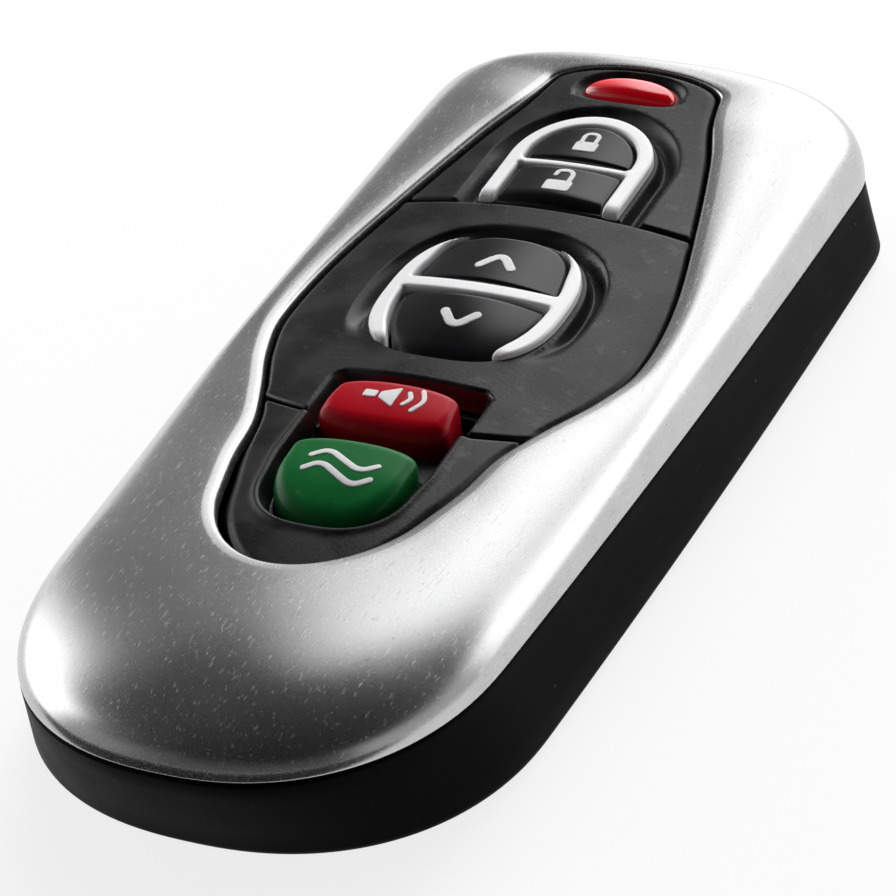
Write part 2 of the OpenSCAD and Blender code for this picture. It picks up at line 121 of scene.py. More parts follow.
def at_height(ring, z):
    """outline lifted to a height, or to a height for each point"""
    return np.column_stack([ring, np.broadcast_to(z, len(ring))])


def piece(name, points, faces):
    """mesh object from points in millimetres"""
    mesh = bpy.data.meshes.new(name)
    mesh.from_pydata([tuple(p) for p in np.asarray(points) * mm], [], faces)
    mesh.update()
    obj = bpy.data.objects.new(name, mesh)
    bpy.context.scene.collection.objects.link(obj)
    return obj


def loft(rings, joined_round=False):
    """points and faces of a skin through rings, closed at both ends or joined round on itself"""
    n, k = len(rings[0]), len(rings)
    faces = []
    for r in range(k if joined_round else k - 1):
        a, b = r * n, (r + 1) % k * n
        faces += [(a + i, a + (i + 1) % n, b + (i + 1) % n, b + i) for i in range(n)]
    if not joined_round:
        faces += [tuple(range(n))[::-1], tuple(range((k - 1) * n, k * n))]
    return np.concatenate(rings), faces


def turned(profile, x, y, n=64):
    """points and faces of a round solid about an upright axis, from (radius, height) pairs"""
    turn = 2 * np.pi * np.arange(n) / n
    rings = [np.column_stack([x + r * np.cos(turn), y + r * np.sin(turn), np.full(n, z)]) for r, z in profile]
    return loft(rings)


def block(low, high):
    """points and faces of a box between two corners"""
    (x0, y0, z0), (x1, y1, z1) = low, high
    ring = np.array([[x0, y0], [x1, y0], [x1, y1], [x0, y1]])
    return loft([at_height(ring, z0), at_height(ring, z1)])


def rod(stops, y, z, n):
    """points and faces of a round bar along x, from (place, radius) pairs"""
    turn = 2 * np.pi * np.arange(n) / n
    rings = [np.column_stack([np.full(n, x), y + r * np.cos(turn), z + r * np.sin(turn)]) for x, r in stops]
    return loft(rings)


def spun(solid, angle):
    """solid turned about the battery door's axis and set on it"""
    points, faces = solid
    c, s = math.cos(math.radians(angle)), math.sin(math.radians(angle))
    return points @ np.array([[c, s, 0], [-s, c, 0], [0, 0, 1]]) + (0, cell_y, 0), faces


def together(*solids):
    """points and faces of several solids as one list"""
    points, faces, n = [], [], 0
    for p, f in solids:
        points.append(np.asarray(p))
        faces += [tuple(i + n for i in face) for face in f]
        n += len(p)
    return np.concatenate(points), faces


def settle(obj):
    """keeps the plain mesh that the piece's modifiers make"""
    mesh = bpy.data.meshes.new_from_object(obj.evaluated_get(bpy.context.evaluated_depsgraph_get()))
    obj.modifiers.clear()
    obj.data = mesh


def carve(obj, *steps):
    """adds or cuts solids, each given as (operation, solid), and keeps the plain result"""
    tools = []
    for operation, solid in steps:
        tool = piece("tool", *solid)
        cut = obj.modifiers.new("carve", "BOOLEAN")
        cut.operation = operation
        cut.solver = "EXACT"
        cut.object = tool
        tools.append(tool)
    settle(obj)
    for tool in tools:
        bpy.data.objects.remove(tool)


def smooth(obj, angle=38):
    """smooth shading with edges kept where the faces turn sharply"""
    obj.data.polygons.foreach_set("use_smooth", [True] * len(obj.data.polygons))
    obj.data.set_sharp_from_angle(angle=math.radians(angle))


class Tone:
    """a shader socket that takes part in Python expressions"""

    def __init__(self, tree, socket):
        self.tree = tree
        self.socket = socket

    def node(self, kind, settings, sockets, out=0):
        made = self.tree.nodes.new(kind)
        for key, value in settings.items():
            setattr(made, key, value)
        for key, value in sockets.items():
            if isinstance(value, Tone):
                self.tree.links.new(value.socket, made.inputs[key])
            else:
                made.inputs[key].default_value = value
        return Tone(self.tree, made.outputs[out])

    def sum(self, operation, a, b=0.0):
        return self.node("ShaderNodeMath", {"operation": operation}, {0: a, 1: b})

    def __add__(self, other):
        return self.sum("ADD", self, other)

    __radd__ = __add__

    def __mul__(self, other):
        return self.sum("MULTIPLY", self, other)

    __rmul__ = __mul__

    def __sub__(self, other):
        return self.sum("SUBTRACT", self, other)

    def __rsub__(self, other):
        return self.sum("SUBTRACT", other, self)

    def __truediv__(self, other):
        return self.sum("DIVIDE", self, other)

    def __pow__(self, other):
        return self.sum("POWER", self, other)

    def between(self, low, high):
        """0 below low, 1 above high, eased between"""
        return self.node("ShaderNodeMapRange", {"interpolation_type": "SMOOTHSTEP"},
                         {"Value": self, "From Min": low, "From Max": high})

    def grain(self, per_metre, detail=3.0, stretch=(1, 1, 1), turn=0.0):
        """noise value at a place, stretched along an axis if asked"""
        at = self.node("ShaderNodeMapping", {}, {"Vector": self, "Scale": stretch, "Rotation": (0, 0, turn)})
        return self.node("ShaderNodeTexNoise", {}, {"Vector": at, "Scale": per_metre, "Detail": detail})

    def specks(self, per_metre, size):
        """1 in small round specks strewn over the surface, 0 elsewhere"""
        far = self.node("ShaderNodeTexVoronoi", {"feature": "F1"}, {"Vector": self, "Scale": per_metre})
        return 1 - far.between(size * 0.6, size)

    def tint(self, low, high):
        """colour between two colours"""
        return self.node("ShaderNodeMix", {"data_type": "RGBA"}, {0: self, 6: (*low, 1), 7: (*high, 1)}, 2)

    def over(self, mask, colour):
        """this colour with another laid over it where the mask is 1"""
        return self.node("ShaderNodeMix", {"data_type": "RGBA"}, {0: mask, 6: self, 7: (*colour, 1)}, 2)

    def relief(self, strength, depth):
        """normal of a surface whose height is this value, depth in metres"""
        return self.node("ShaderNodeBump", {}, {"Height": self, "Strength": strength, "Distance": depth})


def finish(name, dress, **plain):
    """material: plain values go on the shader's sockets, dress(place) gives what varies"""
    material = bpy.data.materials.new(name)
    material.use_nodes = True
    tree = material.node_tree
    shader = tree.nodes["Principled BSDF"]
    for key, value in plain.items():
        shader.inputs[key.replace("_", " ")].default_value = value
    place = Tone(tree, tree.nodes.new("ShaderNodeTexCoord").outputs["Object"])
    for key, tone in dress(place).items():
        tree.links.new(tone.socket, shader.inputs[key.replace("_", " ")])
    return material


def mottled(low, high, rough, spread, per_metre, detail=3.0, stretch=(1, 1, 1)):
    """dress of a plain finish: a mottle of two close colours, rougher where it is lighter"""
    def dress(place):
        mottle = place.grain(per_metre, detail, stretch)
        return {"Base_Color": mottle.tint(low, high), "Roughness": rough + mottle * spread}
    return dress


def case_plastic(place):
    cloud = place.grain(160, 4).between(0.3, 0.7)
    spark = place.grain(5200, 2)
    dust = place.specks(420, 0.05) * place.grain(900, 2).between(0.52, 0.6)
    scuff = place.grain(1500, 3, (1, 0.2, 1), 0.5).between(0.68, 0.76)
    colour = cloud.tint((0.0012, 0.0012, 0.0014), (0.003, 0.003, 0.0033))
    colour = colour.over(scuff * 0.3, (0.02, 0.02, 0.021)).over(dust * 0.6, (0.12, 0.12, 0.12))
    return {"Base_Color": colour, "Roughness": 0.34 + cloud * 0.1 + spark * 0.12 - scuff * 0.08,
            "Normal": spark.relief(0.2, 0.00004)}


case_black = finish("case_black", case_plastic, Specular_IOR_Level=0.03)

foot = case_ring(foot_w, foot_near, foot_far, foot_corner)
rim = case_ring(part_w, near_y, far_y, rim_corner)
rim_in = inset(rim, wall)
bend = np.radians(np.linspace(0, 90, 8))
rings = [at_height(inset(foot, foot_r * (1 - math.sin(t))), foot_r * (1 - math.cos(t))) for t in bend]
top_edge = at_height(rim, part_z(rim[:, 1]) - rim_drop)
rings += [rings[-1] * (1 - t) + top_edge * t for t in (0.25, 0.5, 0.75)]
for t in bend:
    height = part_z(rim[:, 1]) - rim_drop + rim_r * math.sin(t)
    rings.append(at_height(inset(rim, rim_r * (1 - math.cos(t))), height))
rings.append(at_height(rim_in, part_z(rim_in[:, 1]) - 0.05))
rings.append(at_height(inset(foot, wall + 0.6), floor_t))
case_shell = piece("case_shell", *loft(rings))

posts = together(*[turned([(post_r, 0.7), (post_r, 5.4)], x, y, 32) for x, y in screw_places])
pocket_half = slot_half + slot_wall
key_pocket = block((-pocket_half, slot_y - slot_wall, 0.6), (pocket_half, foot_far - 0.9, 4.9))
seat_profile = [(2.2, -0.5), (2.2, 0.0), (1.9, 0.25), (1.9, 1.2), (1.05, 1.2), (1.05, 8)]
screw_seats = together(*[turned(seat_profile, x, y, 40) for x, y in screw_places])
recess_r = door_r + 2.15
door_bore = turned([(recess_r + 0.7, -0.5), (recess_r + 0.25, 0), (recess_r, 0.25), (recess_r, 0.65),
                    (door_r + 0.15, 0.65), (door_r + 0.15, 5)], 0, cell_y, 128)
lug_slots = [spun(block((0, -1.9, -1), (door_r + 1.3, 1.9, 5)), angle) for angle in (75, 195, 315)]
key_slot = block((-slot_half, slot_y, -1), (slot_half, slot_y + 14, slot_top))
pin_bore = rod([(-7, 1.02), (7, 1.02)], pin_y, pin_z, 32)
case_cuts = [screw_seats, door_bore, *lug_slots, key_slot, pin_bore]
carve(case_shell, ("UNION", posts), ("UNION", key_pocket), *[("DIFFERENCE", cut) for cut in case_cuts])
smooth(case_shell)
case_shell.data.materials.append(case_black)
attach(case_shell, "case")
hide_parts("base_case")

# Case screws: four small self-tapping steel screws with a cross recess, seated in the floor from below.
# Each runs up its post and into the inner frame, so only its head shows.
screw_dress = mottled((0.34, 0.34, 0.35), (0.52, 0.52, 0.53), 0.28, 0.2, 2600)
screw_steel = finish("screw_steel", screw_dress, Metallic=1.0)


def grown(name, points, build, sizes, material):
    """piece made by a Geometry Nodes tree: build(add, size sockets) gives what is set on each point"""
    obj = piece(name, points, [])
    tree = bpy.data.node_groups.new(name, "GeometryNodeTree")
    face = tree.interface
    face.new_socket("Geometry", in_out="INPUT", socket_type="NodeSocketGeometry")
    named = {key: face.new_socket(key, in_out="INPUT", socket_type="NodeSocketFloat") for key in sizes}
    face.new_socket("Geometry", in_out="OUTPUT", socket_type="NodeSocketGeometry")
    given = tree.nodes.new("NodeGroupInput")
    last = tree.nodes.new("NodeGroupOutput")

    def add(kind, settings, sockets, out=0):
        made = tree.nodes.new(kind)
        for key, value in settings.items():
            setattr(made, key, value)
        for key, value in sockets.items():
            for one in value if isinstance(value, list) else [value]:
                if isinstance(one, bpy.types.NodeSocket):
                    tree.links.new(one, made.inputs[key])
                else:
                    made.inputs[key].default_value = one
        return made.outputs[out]

    unit = build(add, {key: given.outputs[key] for key in sizes})
    strewn = add("GeometryNodeInstanceOnPoints", {}, {"Points": given.outputs["Geometry"], "Instance": unit})
    real = add("GeometryNodeRealizeInstances", {}, {"Geometry": strewn})
    real = add("GeometryNodeSetMaterial", {}, {"Geometry": real, "Material": material})
    tree.links.new(real, last.inputs[0])
    nodes_on = obj.modifiers.new("grown", "NODES")
    nodes_on.node_group = tree
    for key, value in sizes.items():
        nodes_on[named[key].identifier] = value * mm
    settle(obj)
    return obj


def screw_unit(add, size):
    def half(socket):
        return add("ShaderNodeMath", {"operation": "MULTIPLY"}, {0: socket, 1: 0.5})

    def lift(geometry, z):
        up = add("ShaderNodeCombineXYZ", {}, {"Z": z})
        return add("GeometryNodeTransform", {}, {"Geometry": geometry, "Translation": up})

    rim_face = add("GeometryNodeMeshCone", {},
                   {"Vertices": 48, "Radius Bottom": half(size["Face"]), "Radius Top": half(size["Head"]),
                    "Depth": 0.00025})
    head = add("GeometryNodeMeshCylinder", {},
               {"Vertices": 48, "Radius": half(size["Head"]), "Depth": 0.00066})
    shank = add("GeometryNodeMeshCylinder", {},
                {"Vertices": 32, "Radius": half(size["Thread"]), "Depth": size["Length"]})
    body = add("GeometryNodeMeshBoolean", {"operation": "UNION"},
               {1: [rim_face, lift(head, 0.00057), lift(shank, 0.0042)]})
    arm = add("GeometryNodeMeshCube", {}, {"Size": (0.0021, 0.00046, 0.001)})
    arm_2 = add("GeometryNodeMeshCube", {}, {"Size": (0.00046, 0.0021, 0.001)})
    return add("GeometryNodeMeshBoolean", {"operation": "DIFFERENCE"}, {0: body, 1: [arm, arm_2]})


case_screw_set = grown("case_screw_set", [(x, y, 0.3) for x, y in screw_places], screw_unit,
                       {"Head": 3.4, "Face": 2.9, "Thread": 1.8, "Length": 6.6}, screw_steel)
smooth(case_screw_set)
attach(case_screw_set, "case")
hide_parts("case_screws")

# Keyring pin: a ground steel pin pressed across the slot at the lens end, for a split ring or a cord loop.
# Its ends are hidden in the slot's walls.
pin_dress = mottled((0.45, 0.45, 0.46), (0.62, 0.62, 0.63), 0.2, 0.2, 900, 3, (0.1, 1, 1))
pin_steel = finish("pin_steel", pin_dress, Metallic=1.0)
ring_pin = piece("ring_pin", *rod([(-6.5, 0.8), (-6.3, 1.0), (6.3, 1.0), (6.5, 0.8)], pin_y, pin_z, 40))
smooth(ring_pin)
ring_pin.data.materials.append(pin_steel)
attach(ring_pin, "case")
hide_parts("keyring_pin")

# Battery door: a round black bayonet lid with a coin slot, turned through an eighth of a turn to open.
# Its three lugs catch behind the case floor, and a rubber ring in its groove keeps dust out.
coin_l = 9.0
coin_w = 1.6
flange_r = door_r + 2.0
groove_r = door_r - 0.55
lid_profile = [(0.01, 0), (flange_r - 1.2, 0), (flange_r - 0.25, 0.02), (flange_r - 0.08, 0.1),
               (flange_r, 0.25), (flange_r, 0.6), (door_r, 0.6), (door_r, 0.75), (groove_r, 0.75),
               (groove_r, 1.25), (door_r, 1.25), (door_r, floor_t), (0.01, floor_t)]
door_lid = piece("door_lid", *turned(lid_profile, 0, cell_y, 128))
lug = block((door_r - 1.1, -1.6, floor_t + 0.05), (door_r + 1.1, 1.6, floor_t + 0.6))
lug_root = block((door_r - 1.1, -1.6, floor_t - 0.2), (door_r - 0.05, 1.6, floor_t + 0.1))
lugs = [spun(solid, angle) for angle in (30, 150, 270) for solid in (lug, lug_root)]
bow = np.radians(np.linspace(-90, 90, 12))
slot_end = np.column_stack([coin_l / 2 - coin_w / 2 + coin_w / 2 * np.cos(bow), coin_w / 2 * np.sin(bow)])
slot_ring = np.concatenate([slot_end, -slot_end])
slot_rings = [at_height(inset(slot_ring, d) + (0, cell_y), z)
              for d, z in ((-0.4, -0.2), (-0.18, 0.0), (0, 0.18), (0, 0.6))]
carve(door_lid, *[("UNION", solid) for solid in lugs], ("DIFFERENCE", loft(slot_rings)))
smooth(door_lid)
door_lid.data.materials.append(case_black)
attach(door_lid, "door")
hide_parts("battery_door")

seal_dress = mottled((0.10, 0.025, 0.018), (0.17, 0.045, 0.03), 0.55, 0.2, 1400)
seal_rubber = finish("seal_rubber", seal_dress, Specular_IOR_Level=0.3)


def coat(name, material):
    """gives a CAD node its finish"""
    nodes[name].data.materials.clear()
    nodes[name].data.materials.append(material)


coat("door_seal", seal_rubber)

# Coin cell and its contacts: a nickel-plated steel can with a stepped negative cap, and two plated tongues.
# The tongues are springs soldered under the board, and they press on the can's side and cap.


def can_steel(place):
    centred = place.node("ShaderNodeMapping", {}, {"Vector": place, "Location": (0, -cell_y * mm, 0)})
    rings = centred.node("ShaderNodeTexWave", {"wave_type": "RINGS", "rings_direction": "Z"},
                         {"Vector": centred, "Scale": 900.0, "Distortion": 2.0})
    haze = place.grain(300, 3)
    return {"Base_Color": haze.tint((0.55, 0.55, 0.56), (0.72, 0.72, 0.73)), "Roughness": 0.22 + rings * 0.12}


cell_steel = finish("cell_steel", can_steel, Metallic=1.0)
contact_dress = mottled((0.5, 0.38, 0.16), (0.68, 0.56, 0.3), 0.25, 0.2, 700)
contact_brass = finish("contact_brass", contact_dress, Metallic=1.0)
coat("coin_cell", cell_steel)
coat("positive_contact", contact_brass)
coat("negative_contact", contact_brass)

# Circuit board: green glass-epoxy laminate with tracks under the mask, cut to the case's inner outline.
# Chips, crystal, capacitors, antenna core and indicator light are soldered to it.


def board_mask(place):
    squared = place.node("ShaderNodeTexBrick", {"offset": 0.5},
                         {"Vector": place, "Scale": 420.0, "Mortar Size": 0.03, "Color1": (0, 0, 0, 1),
                          "Color2": (0, 0, 0, 1), "Mortar": (1, 1, 1, 1)})
    weave = place.grain(1800, 2)
    colour = weave.tint((0.008, 0.09, 0.03), (0.014, 0.13, 0.045))
    return {"Base_Color": colour.over(squared, (0.03, 0.2, 0.07)), "Roughness": 0.3 + weave * 0.15}


chip_black = finish("chip", mottled((0.012, 0.012, 0.013), (0.03, 0.03, 0.032), 0.5, 0.2, 4200))
coat("pcb", finish("board", board_mask))
coat("microcontroller", chip_black)
coat("rf_chip", chip_black)
can_dress = mottled((0.5, 0.5, 0.49), (0.68, 0.68, 0.66), 0.25, 0.15, 1600, 3, (1, 0.15, 1))
coat("crystal", finish("crystal_can", can_dress, Metallic=1.0))
coat("coil_core", finish("ferrite", mottled((0.025, 0.024, 0.024), (0.06, 0.058, 0.056), 0.6, 0.2, 3000, 4)))
coat("capacitors", finish("ceramic", mottled((0.3, 0.21, 0.12), (0.42, 0.31, 0.19), 0.35, 0.2, 2500)))
coat("led", finish("led_white", mottled((0.7, 0.66, 0.56), (0.82, 0.8, 0.72), 0.3, 0.1, 2000, 2)))

# Antenna coil: enamelled copper wire wound in one layer round the flat ferrite core.
# The turns lie side by side between the core's two cheeks.
copper = finish("copper", mottled((0.42, 0.14, 0.05), (0.6, 0.24, 0.1), 0.22, 0.15, 2200), Metallic=1.0)
wire_d = 0.3
coil_n = 28
coil_half = 4.2
coil_y, coil_z = 21.9, 4.1
coil_turns = [(-coil_half + wire_d / 2 + wire_d * i, coil_y, coil_z) for i in range(coil_n)]


def coil_unit(add, size):
    loop = add("GeometryNodeCurvePrimitiveQuadrilateral", {},
               {"Width": size["Width"], "Height": size["Height"]})
    loop = add("GeometryNodeFilletCurve", {"mode": "POLY"},
               {"Curve": loop, "Count": 4, "Radius": size["Corner"]})
    wire = add("GeometryNodeCurvePrimitiveCircle", {"mode": "RADIUS"},
               {"Resolution": 8, "Radius": size["Wire"]})
    tube = add("GeometryNodeCurveToMesh", {}, {"Curve": loop, "Profile Curve": wire})
    return add("GeometryNodeTransform", {}, {"Geometry": tube, "Rotation": (math.pi / 2, 0, math.pi / 2)})


antenna_coil = grown("antenna_coil", coil_turns, coil_unit,
                     {"Width": 2.25, "Height": 2.05, "Corner": 0.35, "Wire": wire_d / 2 - 0.005}, copper)
smooth(antenna_coil, 60)
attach(antenna_coil, "case")
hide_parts("coil_winding")

# Keypad mat, domes and inner frame: soft grey silicone under a black moulded frame that carries the panels.
# Each dome stands between the board and its button, and on the real fob it flattens when the button is
# pressed.
silicone_dress = mottled((0.055, 0.055, 0.062), (0.09, 0.09, 0.1), 0.5, 0.2, 900)
silicone = finish("silicone", silicone_dress, Specular_IOR_Level=0.4)
key_places = {"lock": 27.1, "unlock": 22.1, "up": 11.3, "down": 3.4, "red": -6.9, "green": -15.4}
for name in ["keypad_mat"] + [key + "_dome" for key in key_places]:
    coat(name, silicone)
touching = 1e-7
for key in key_places:
    mesh = nodes[key + "_dome"].data.copy()
    joined = bmesh.new()
    joined.from_mesh(mesh)
    bmesh.ops.remove_doubles(joined, verts=joined.verts, dist=touching)
    joined.to_mesh(mesh)
    joined.free()
    dome = bpy.data.objects.new(key + "_dome_soft", mesh)
    bpy.context.scene.collection.objects.link(dome)
    smooth(dome)
    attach(dome, "case")
    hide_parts(key + "_dome")
    key + "_press"
    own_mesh(dome)
coat("carrier", case_black)

# Key panels: three soft-touch charcoal mouldings in the cover's opening, parted by two seams.
# Their crowned tops have rolled shoulders, and the button groups sit in recesses moulded into them.
panel_z = 11.5
crown_r = 56.0
crown_tilt = 0.012
waist_y = 3.5
lens_sweep = 0.0016
lens_sweep_y = 20
near_dip = 0.003
near_dip_y = -9
panel_b = 7.6
panel_gap = 0.25
seam_y = 19.2
seam_2_y = -8.6
seam_2_bow = 0.021
seam_w = 0.3
well_z = 9.9
open_near = -25.2
open_far = 38.25
open_places = np.array([open_near, -20, -14, -9.6, -5.6, -1, 3.5, 10.8, 20, 28.5, 33, open_far])
open_halves = np.array([5.8, 6.75, 8.3, 9.0, 10.5, 12.45, 13.6, 13.2, 11.25, 9.05, 7.5, 6.35])
arch_r = 5.45
arch_y = 25.5
arch_foot = 19.45
trim_w = 1.2
bar_y = 24.6
bar_t = 0.68
oval_a = 6.85
oval_b = 7.5
oval_y = 7.0
oval_e = 2.703
oval_bend = 0.74
arc_w = 1.1
oval_bar_y = 7.85
oval_bar_t = 1.3
lens_y = 35.3


def open_half(y):
    """half width of the cover's opening before its ends are rounded"""
    slopes = np.empty(len(open_places))
    slopes[1:-1] = (open_halves[2:] - open_halves[:-2]) / (open_places[2:] - open_places[:-2])
    slopes[0] = (open_halves[1] - open_halves[0]) / (open_places[1] - open_places[0])
    slopes[-1] = (open_halves[-1] - open_halves[-2]) / (open_places[-1] - open_places[-2])
    i = np.clip(np.searchsorted(open_places, y, side="right") - 1, 0, len(open_places) - 2)
    h = open_places[i + 1] - open_places[i]
    u = (y - open_places[i]) / h
    v = 1 - u
    return (open_halves[i] * v * v * (1 + 2 * u) + open_halves[i + 1] * u * u * (1 + 2 * v)
            + h * u * v * (slopes[i] * v - slopes[i + 1] * u))


open_ys = stations(side_n, open_near, open_far)
open_ring = both_sides(open_ys, open_half(open_ys) * cap((open_near + 7 - open_ys) / 7, 2)
                       * cap((open_ys - open_far + 2) / 2, 2.2))


def seam_2(x):
    """near seam, bowed toward the lens at its sides"""
    return seam_2_y + seam_2_bow * x * x


def crown(points, h):
    """height of a crowned top, h over the panels, which sweep up to the lens and dip at the near end"""
    x, y = points[:, 0], points[:, 1]
    sweep = crown_tilt * (y - waist_y) + lens_sweep * np.maximum(y - lens_sweep_y, 0) ** 2
    sweep = sweep - near_dip * np.maximum(near_dip_y - y, 0) ** 2
    return panel_z + h + sweep - crown_r + np.sqrt(crown_r ** 2 - x ** 2)


def even(ring, step, ease=4):
    """outline with points at even steps and its corners eased"""
    closed = np.vstack([ring, ring[:1]])
    run = np.concatenate([[0], np.cumsum(np.linalg.norm(np.diff(closed, axis=0), axis=1))])
    at = np.linspace(0, run[-1], max(int(run[-1] / step), 12), endpoint=False)
    made = np.column_stack([np.interp(at, run, closed[:, 0]), np.interp(at, run, closed[:, 1])])
    for _ in range(ease):
        made = (np.roll(made, 1, 0) + 2 * made + np.roll(made, -1, 0)) / 4
    return made


def reach(points, ring):
    """distance of points from an outline, positive inside it"""
    a, b = ring, np.roll(ring, -1, 0)
    ab = b - a
    long = (ab ** 2).sum(1)
    rise = np.where(ab[:, 1] == 0, 1e-12, ab[:, 1])
    out = []
    for k in range(0, len(points), 1500):
        p = points[k:k + 1500, None, :]
        t = np.clip(((p - a) * ab).sum(2) / long, 0, 1)
        d = np.sqrt((((a + t[..., None] * ab) - p) ** 2).sum(2)).min(1)
        x, y = p[..., 0], p[..., 1]
        crossed = ((a[:, 1] > y) != (b[:, 1] > y)) & (x < a[:, 0] + (y - a[:, 1]) / rise * ab[:, 0])
        out.append(np.where(crossed.sum(1) % 2 == 1, d, -d))
    return np.concatenate(out)


def slab(name, outline, holes, top, floor, rows, step, guides=()):
    """moulding over an outline less its holes, from a floor up to top(points).
    Rows of points follow its edges, and guides gives further (outline, offsets) to follow."""
    loops = [outline] + holes
    low, high = outline.min(0), outline.max(0)
    gx, gy = np.meshgrid(np.arange(low[0], high[0], step), np.arange(low[1], high[1], step * 0.87))
    gx[1::2] += step / 2
    grid = np.column_stack([gx.ravel(), gy.ravel()])

    def room(points):
        free = reach(points, outline)
        for hole in holes:
            free = np.minimum(free, -reach(points, hole))
        return free

    lines = [inset(ring, -d) for ring, offsets in guides for d in offsets]
    clear = room(grid) - rows[-1] - step * 0.4
    for line in lines:
        clear = np.minimum(clear, np.abs(reach(grid, line)) - 0.09)
    spread = [grid[clear > 0]]
    for line in lines:
        spread.append(line[room(line) > 0.06])
    for k, loop in enumerate(loops):
        for d in rows:
            row = inset(loop, d if k == 0 else -d)
            own = np.abs(reach(row, loop))
            spread.append(row[(np.abs(own - d) < 0.12 * d + 0.005) & (room(row) > d * 0.9 - 0.005)])
    points = np.concatenate(loops + spread)
    edges, n = [], 0
    for loop in loops:
        edges += [(n + i, n + (i + 1) % len(loop)) for i in range(len(loop))]
        n += len(loop)
    flat, _, tris, _, _, _ = delaunay_2d_cdt([Vector(p) for p in points], edges, [], 0, 1e-4)
    flat = np.array([tuple(p) for p in flat])
    tris = np.array([tuple(t) for t in tris])
    tris = tris[room(flat[tris].mean(1)) > 0]
    used = np.unique(tris)
    renumber = np.zeros(len(flat), int)
    renumber[used] = np.arange(len(used))
    flat, tris, n = flat[used], renumber[tris], len(used)
    under = floor(flat) if callable(floor) else np.full(n, floor)
    sides = {}
    for t in tris:
        for a, b in ((t[0], t[1]), (t[1], t[2]), (t[2], t[0])):
            if (b, a) in sides:
                del sides[b, a]
            else:
                sides[a, b] = True
    faces = [tuple(t) for t in tris] + [tuple(t[::-1] + n) for t in tris]
    faces += [(a, a + n, b + n, b) for a, b in sides]
    faces = [tuple(int(i) for i in face) for face in faces]
    skins = [np.column_stack([flat, top(flat)]), np.column_stack([flat, under])]
    return piece(name, np.concatenate(skins), faces)


def roll(d, r):
    """drop of a rounded edge of radius r at a distance d from it"""
    return r - np.sqrt(np.maximum(r ** 2 - (r - np.clip(d, 0, r)) ** 2, 0))


def eased(t):
    """0 below 0, 1 above 1, eased between"""
    t = np.clip(t, 0, 1)
    return t * t * (3 - 2 * t)


def arch(r, low):
    """outline of an arch of radius r standing on a straight foot"""
    turn = np.radians(np.linspace(0, 180, 61))
    bow = np.column_stack([r * np.cos(turn), np.maximum(arch_y + r * np.sin(turn), low + 0.01)])
    return np.concatenate([[[r, low]], bow, [[-r, low]]])


def oval_half(y, a, b):
    """half width of the oval at a station"""
    return a * np.maximum(1 - np.abs((y - oval_y) / b) ** oval_e, 0) ** (1 / oval_e)


def oval(a, b):
    """outline of the oval with half width a and half length b"""
    turn = 2 * np.pi * np.arange(160) / 160
    c, s = np.cos(turn), np.sin(turn)
    xs = a * np.sign(c) * np.abs(c) ** oval_bend
    return np.column_stack([xs, oval_y + b * np.sign(s) * np.abs(s) ** oval_bend])


def blob(wa, wb, a, b, ra, rb, ea, eb):
    """outline with half widths wa and wb at its near and far ends a and b, nearly straight between them.
    Each end is rounded over a length, ra or rb, with an exponent, ea or eb."""
    ys = stations(60, a, b)
    halves = wa + (wb - wa) * (ys - a) / (b - a)
    return both_sides(ys, halves * cap((a + ra - ys) / ra, ea) * cap((ys - b + rb) / rb, eb))


def box_reach(points, x, y0, y1, r):
    """distance inside an upright box of half width x with rounded corners"""
    q = np.abs(points - (0, (y0 + y1) / 2)) - (x - r, (y1 - y0) / 2 - r)
    return r - np.linalg.norm(np.maximum(q, 0), axis=1) - np.minimum(q.max(1), 0)


red_ring = blob(5.0, 4.35, -9.4, -4.5, 1.3, 1.1, 2.3, 2.3)
green_ring = blob(4.4, 4.6, -18.9, -11.25, 4.6, 1.3, 2.5, 2.4)
lens_a = 3.75
lens_far, lens_near = 1.8, 0.9
lens_bend = 0.8
turn = 2 * np.pi * np.arange(72) / 72
lens_ring = np.column_stack([lens_a * np.sign(np.cos(turn)) * np.abs(np.cos(turn)) ** lens_bend,
                             lens_y - 0.2 + np.where(np.sin(turn) > 0, lens_far, lens_near)
                             * np.sign(np.sin(turn)) * np.abs(np.sin(turn)) ** lens_bend])
panel_ring = inset(open_ring, panel_gap)
right = panel_ring[:side_n]
left = panel_ring[side_n:]
notch_x = 5.2
notch_far = -4.3
notch_near = -9.6
seam_half = seam_w / 2


def seam_run(x0, x1, line):
    """points along a seam's edge, without its two ends"""
    xs = np.linspace(x0, x1, 400)
    return np.column_stack([xs, line(xs)])[1:-1]


def upper_edge(x):
    return np.full(len(x), seam_y + seam_half)


def middle_far_edge(x):
    return np.full(len(x), seam_y - seam_half)


def middle_near_edge(x):
    """near edge of the middle panel, notched round the red button"""
    return np.where(np.abs(x) < notch_x, notch_far, seam_2(x) + seam_half)


def lower_edge(x):
    """far edge of the lower panel, notched round the red button"""
    return np.where(np.abs(x) < notch_x, notch_near, seam_2(x) - seam_half)


def in_middle(p):
    return (p[:, 1] < seam_y - seam_half) & (p[:, 1] > seam_2(p[:, 0]) + seam_half)


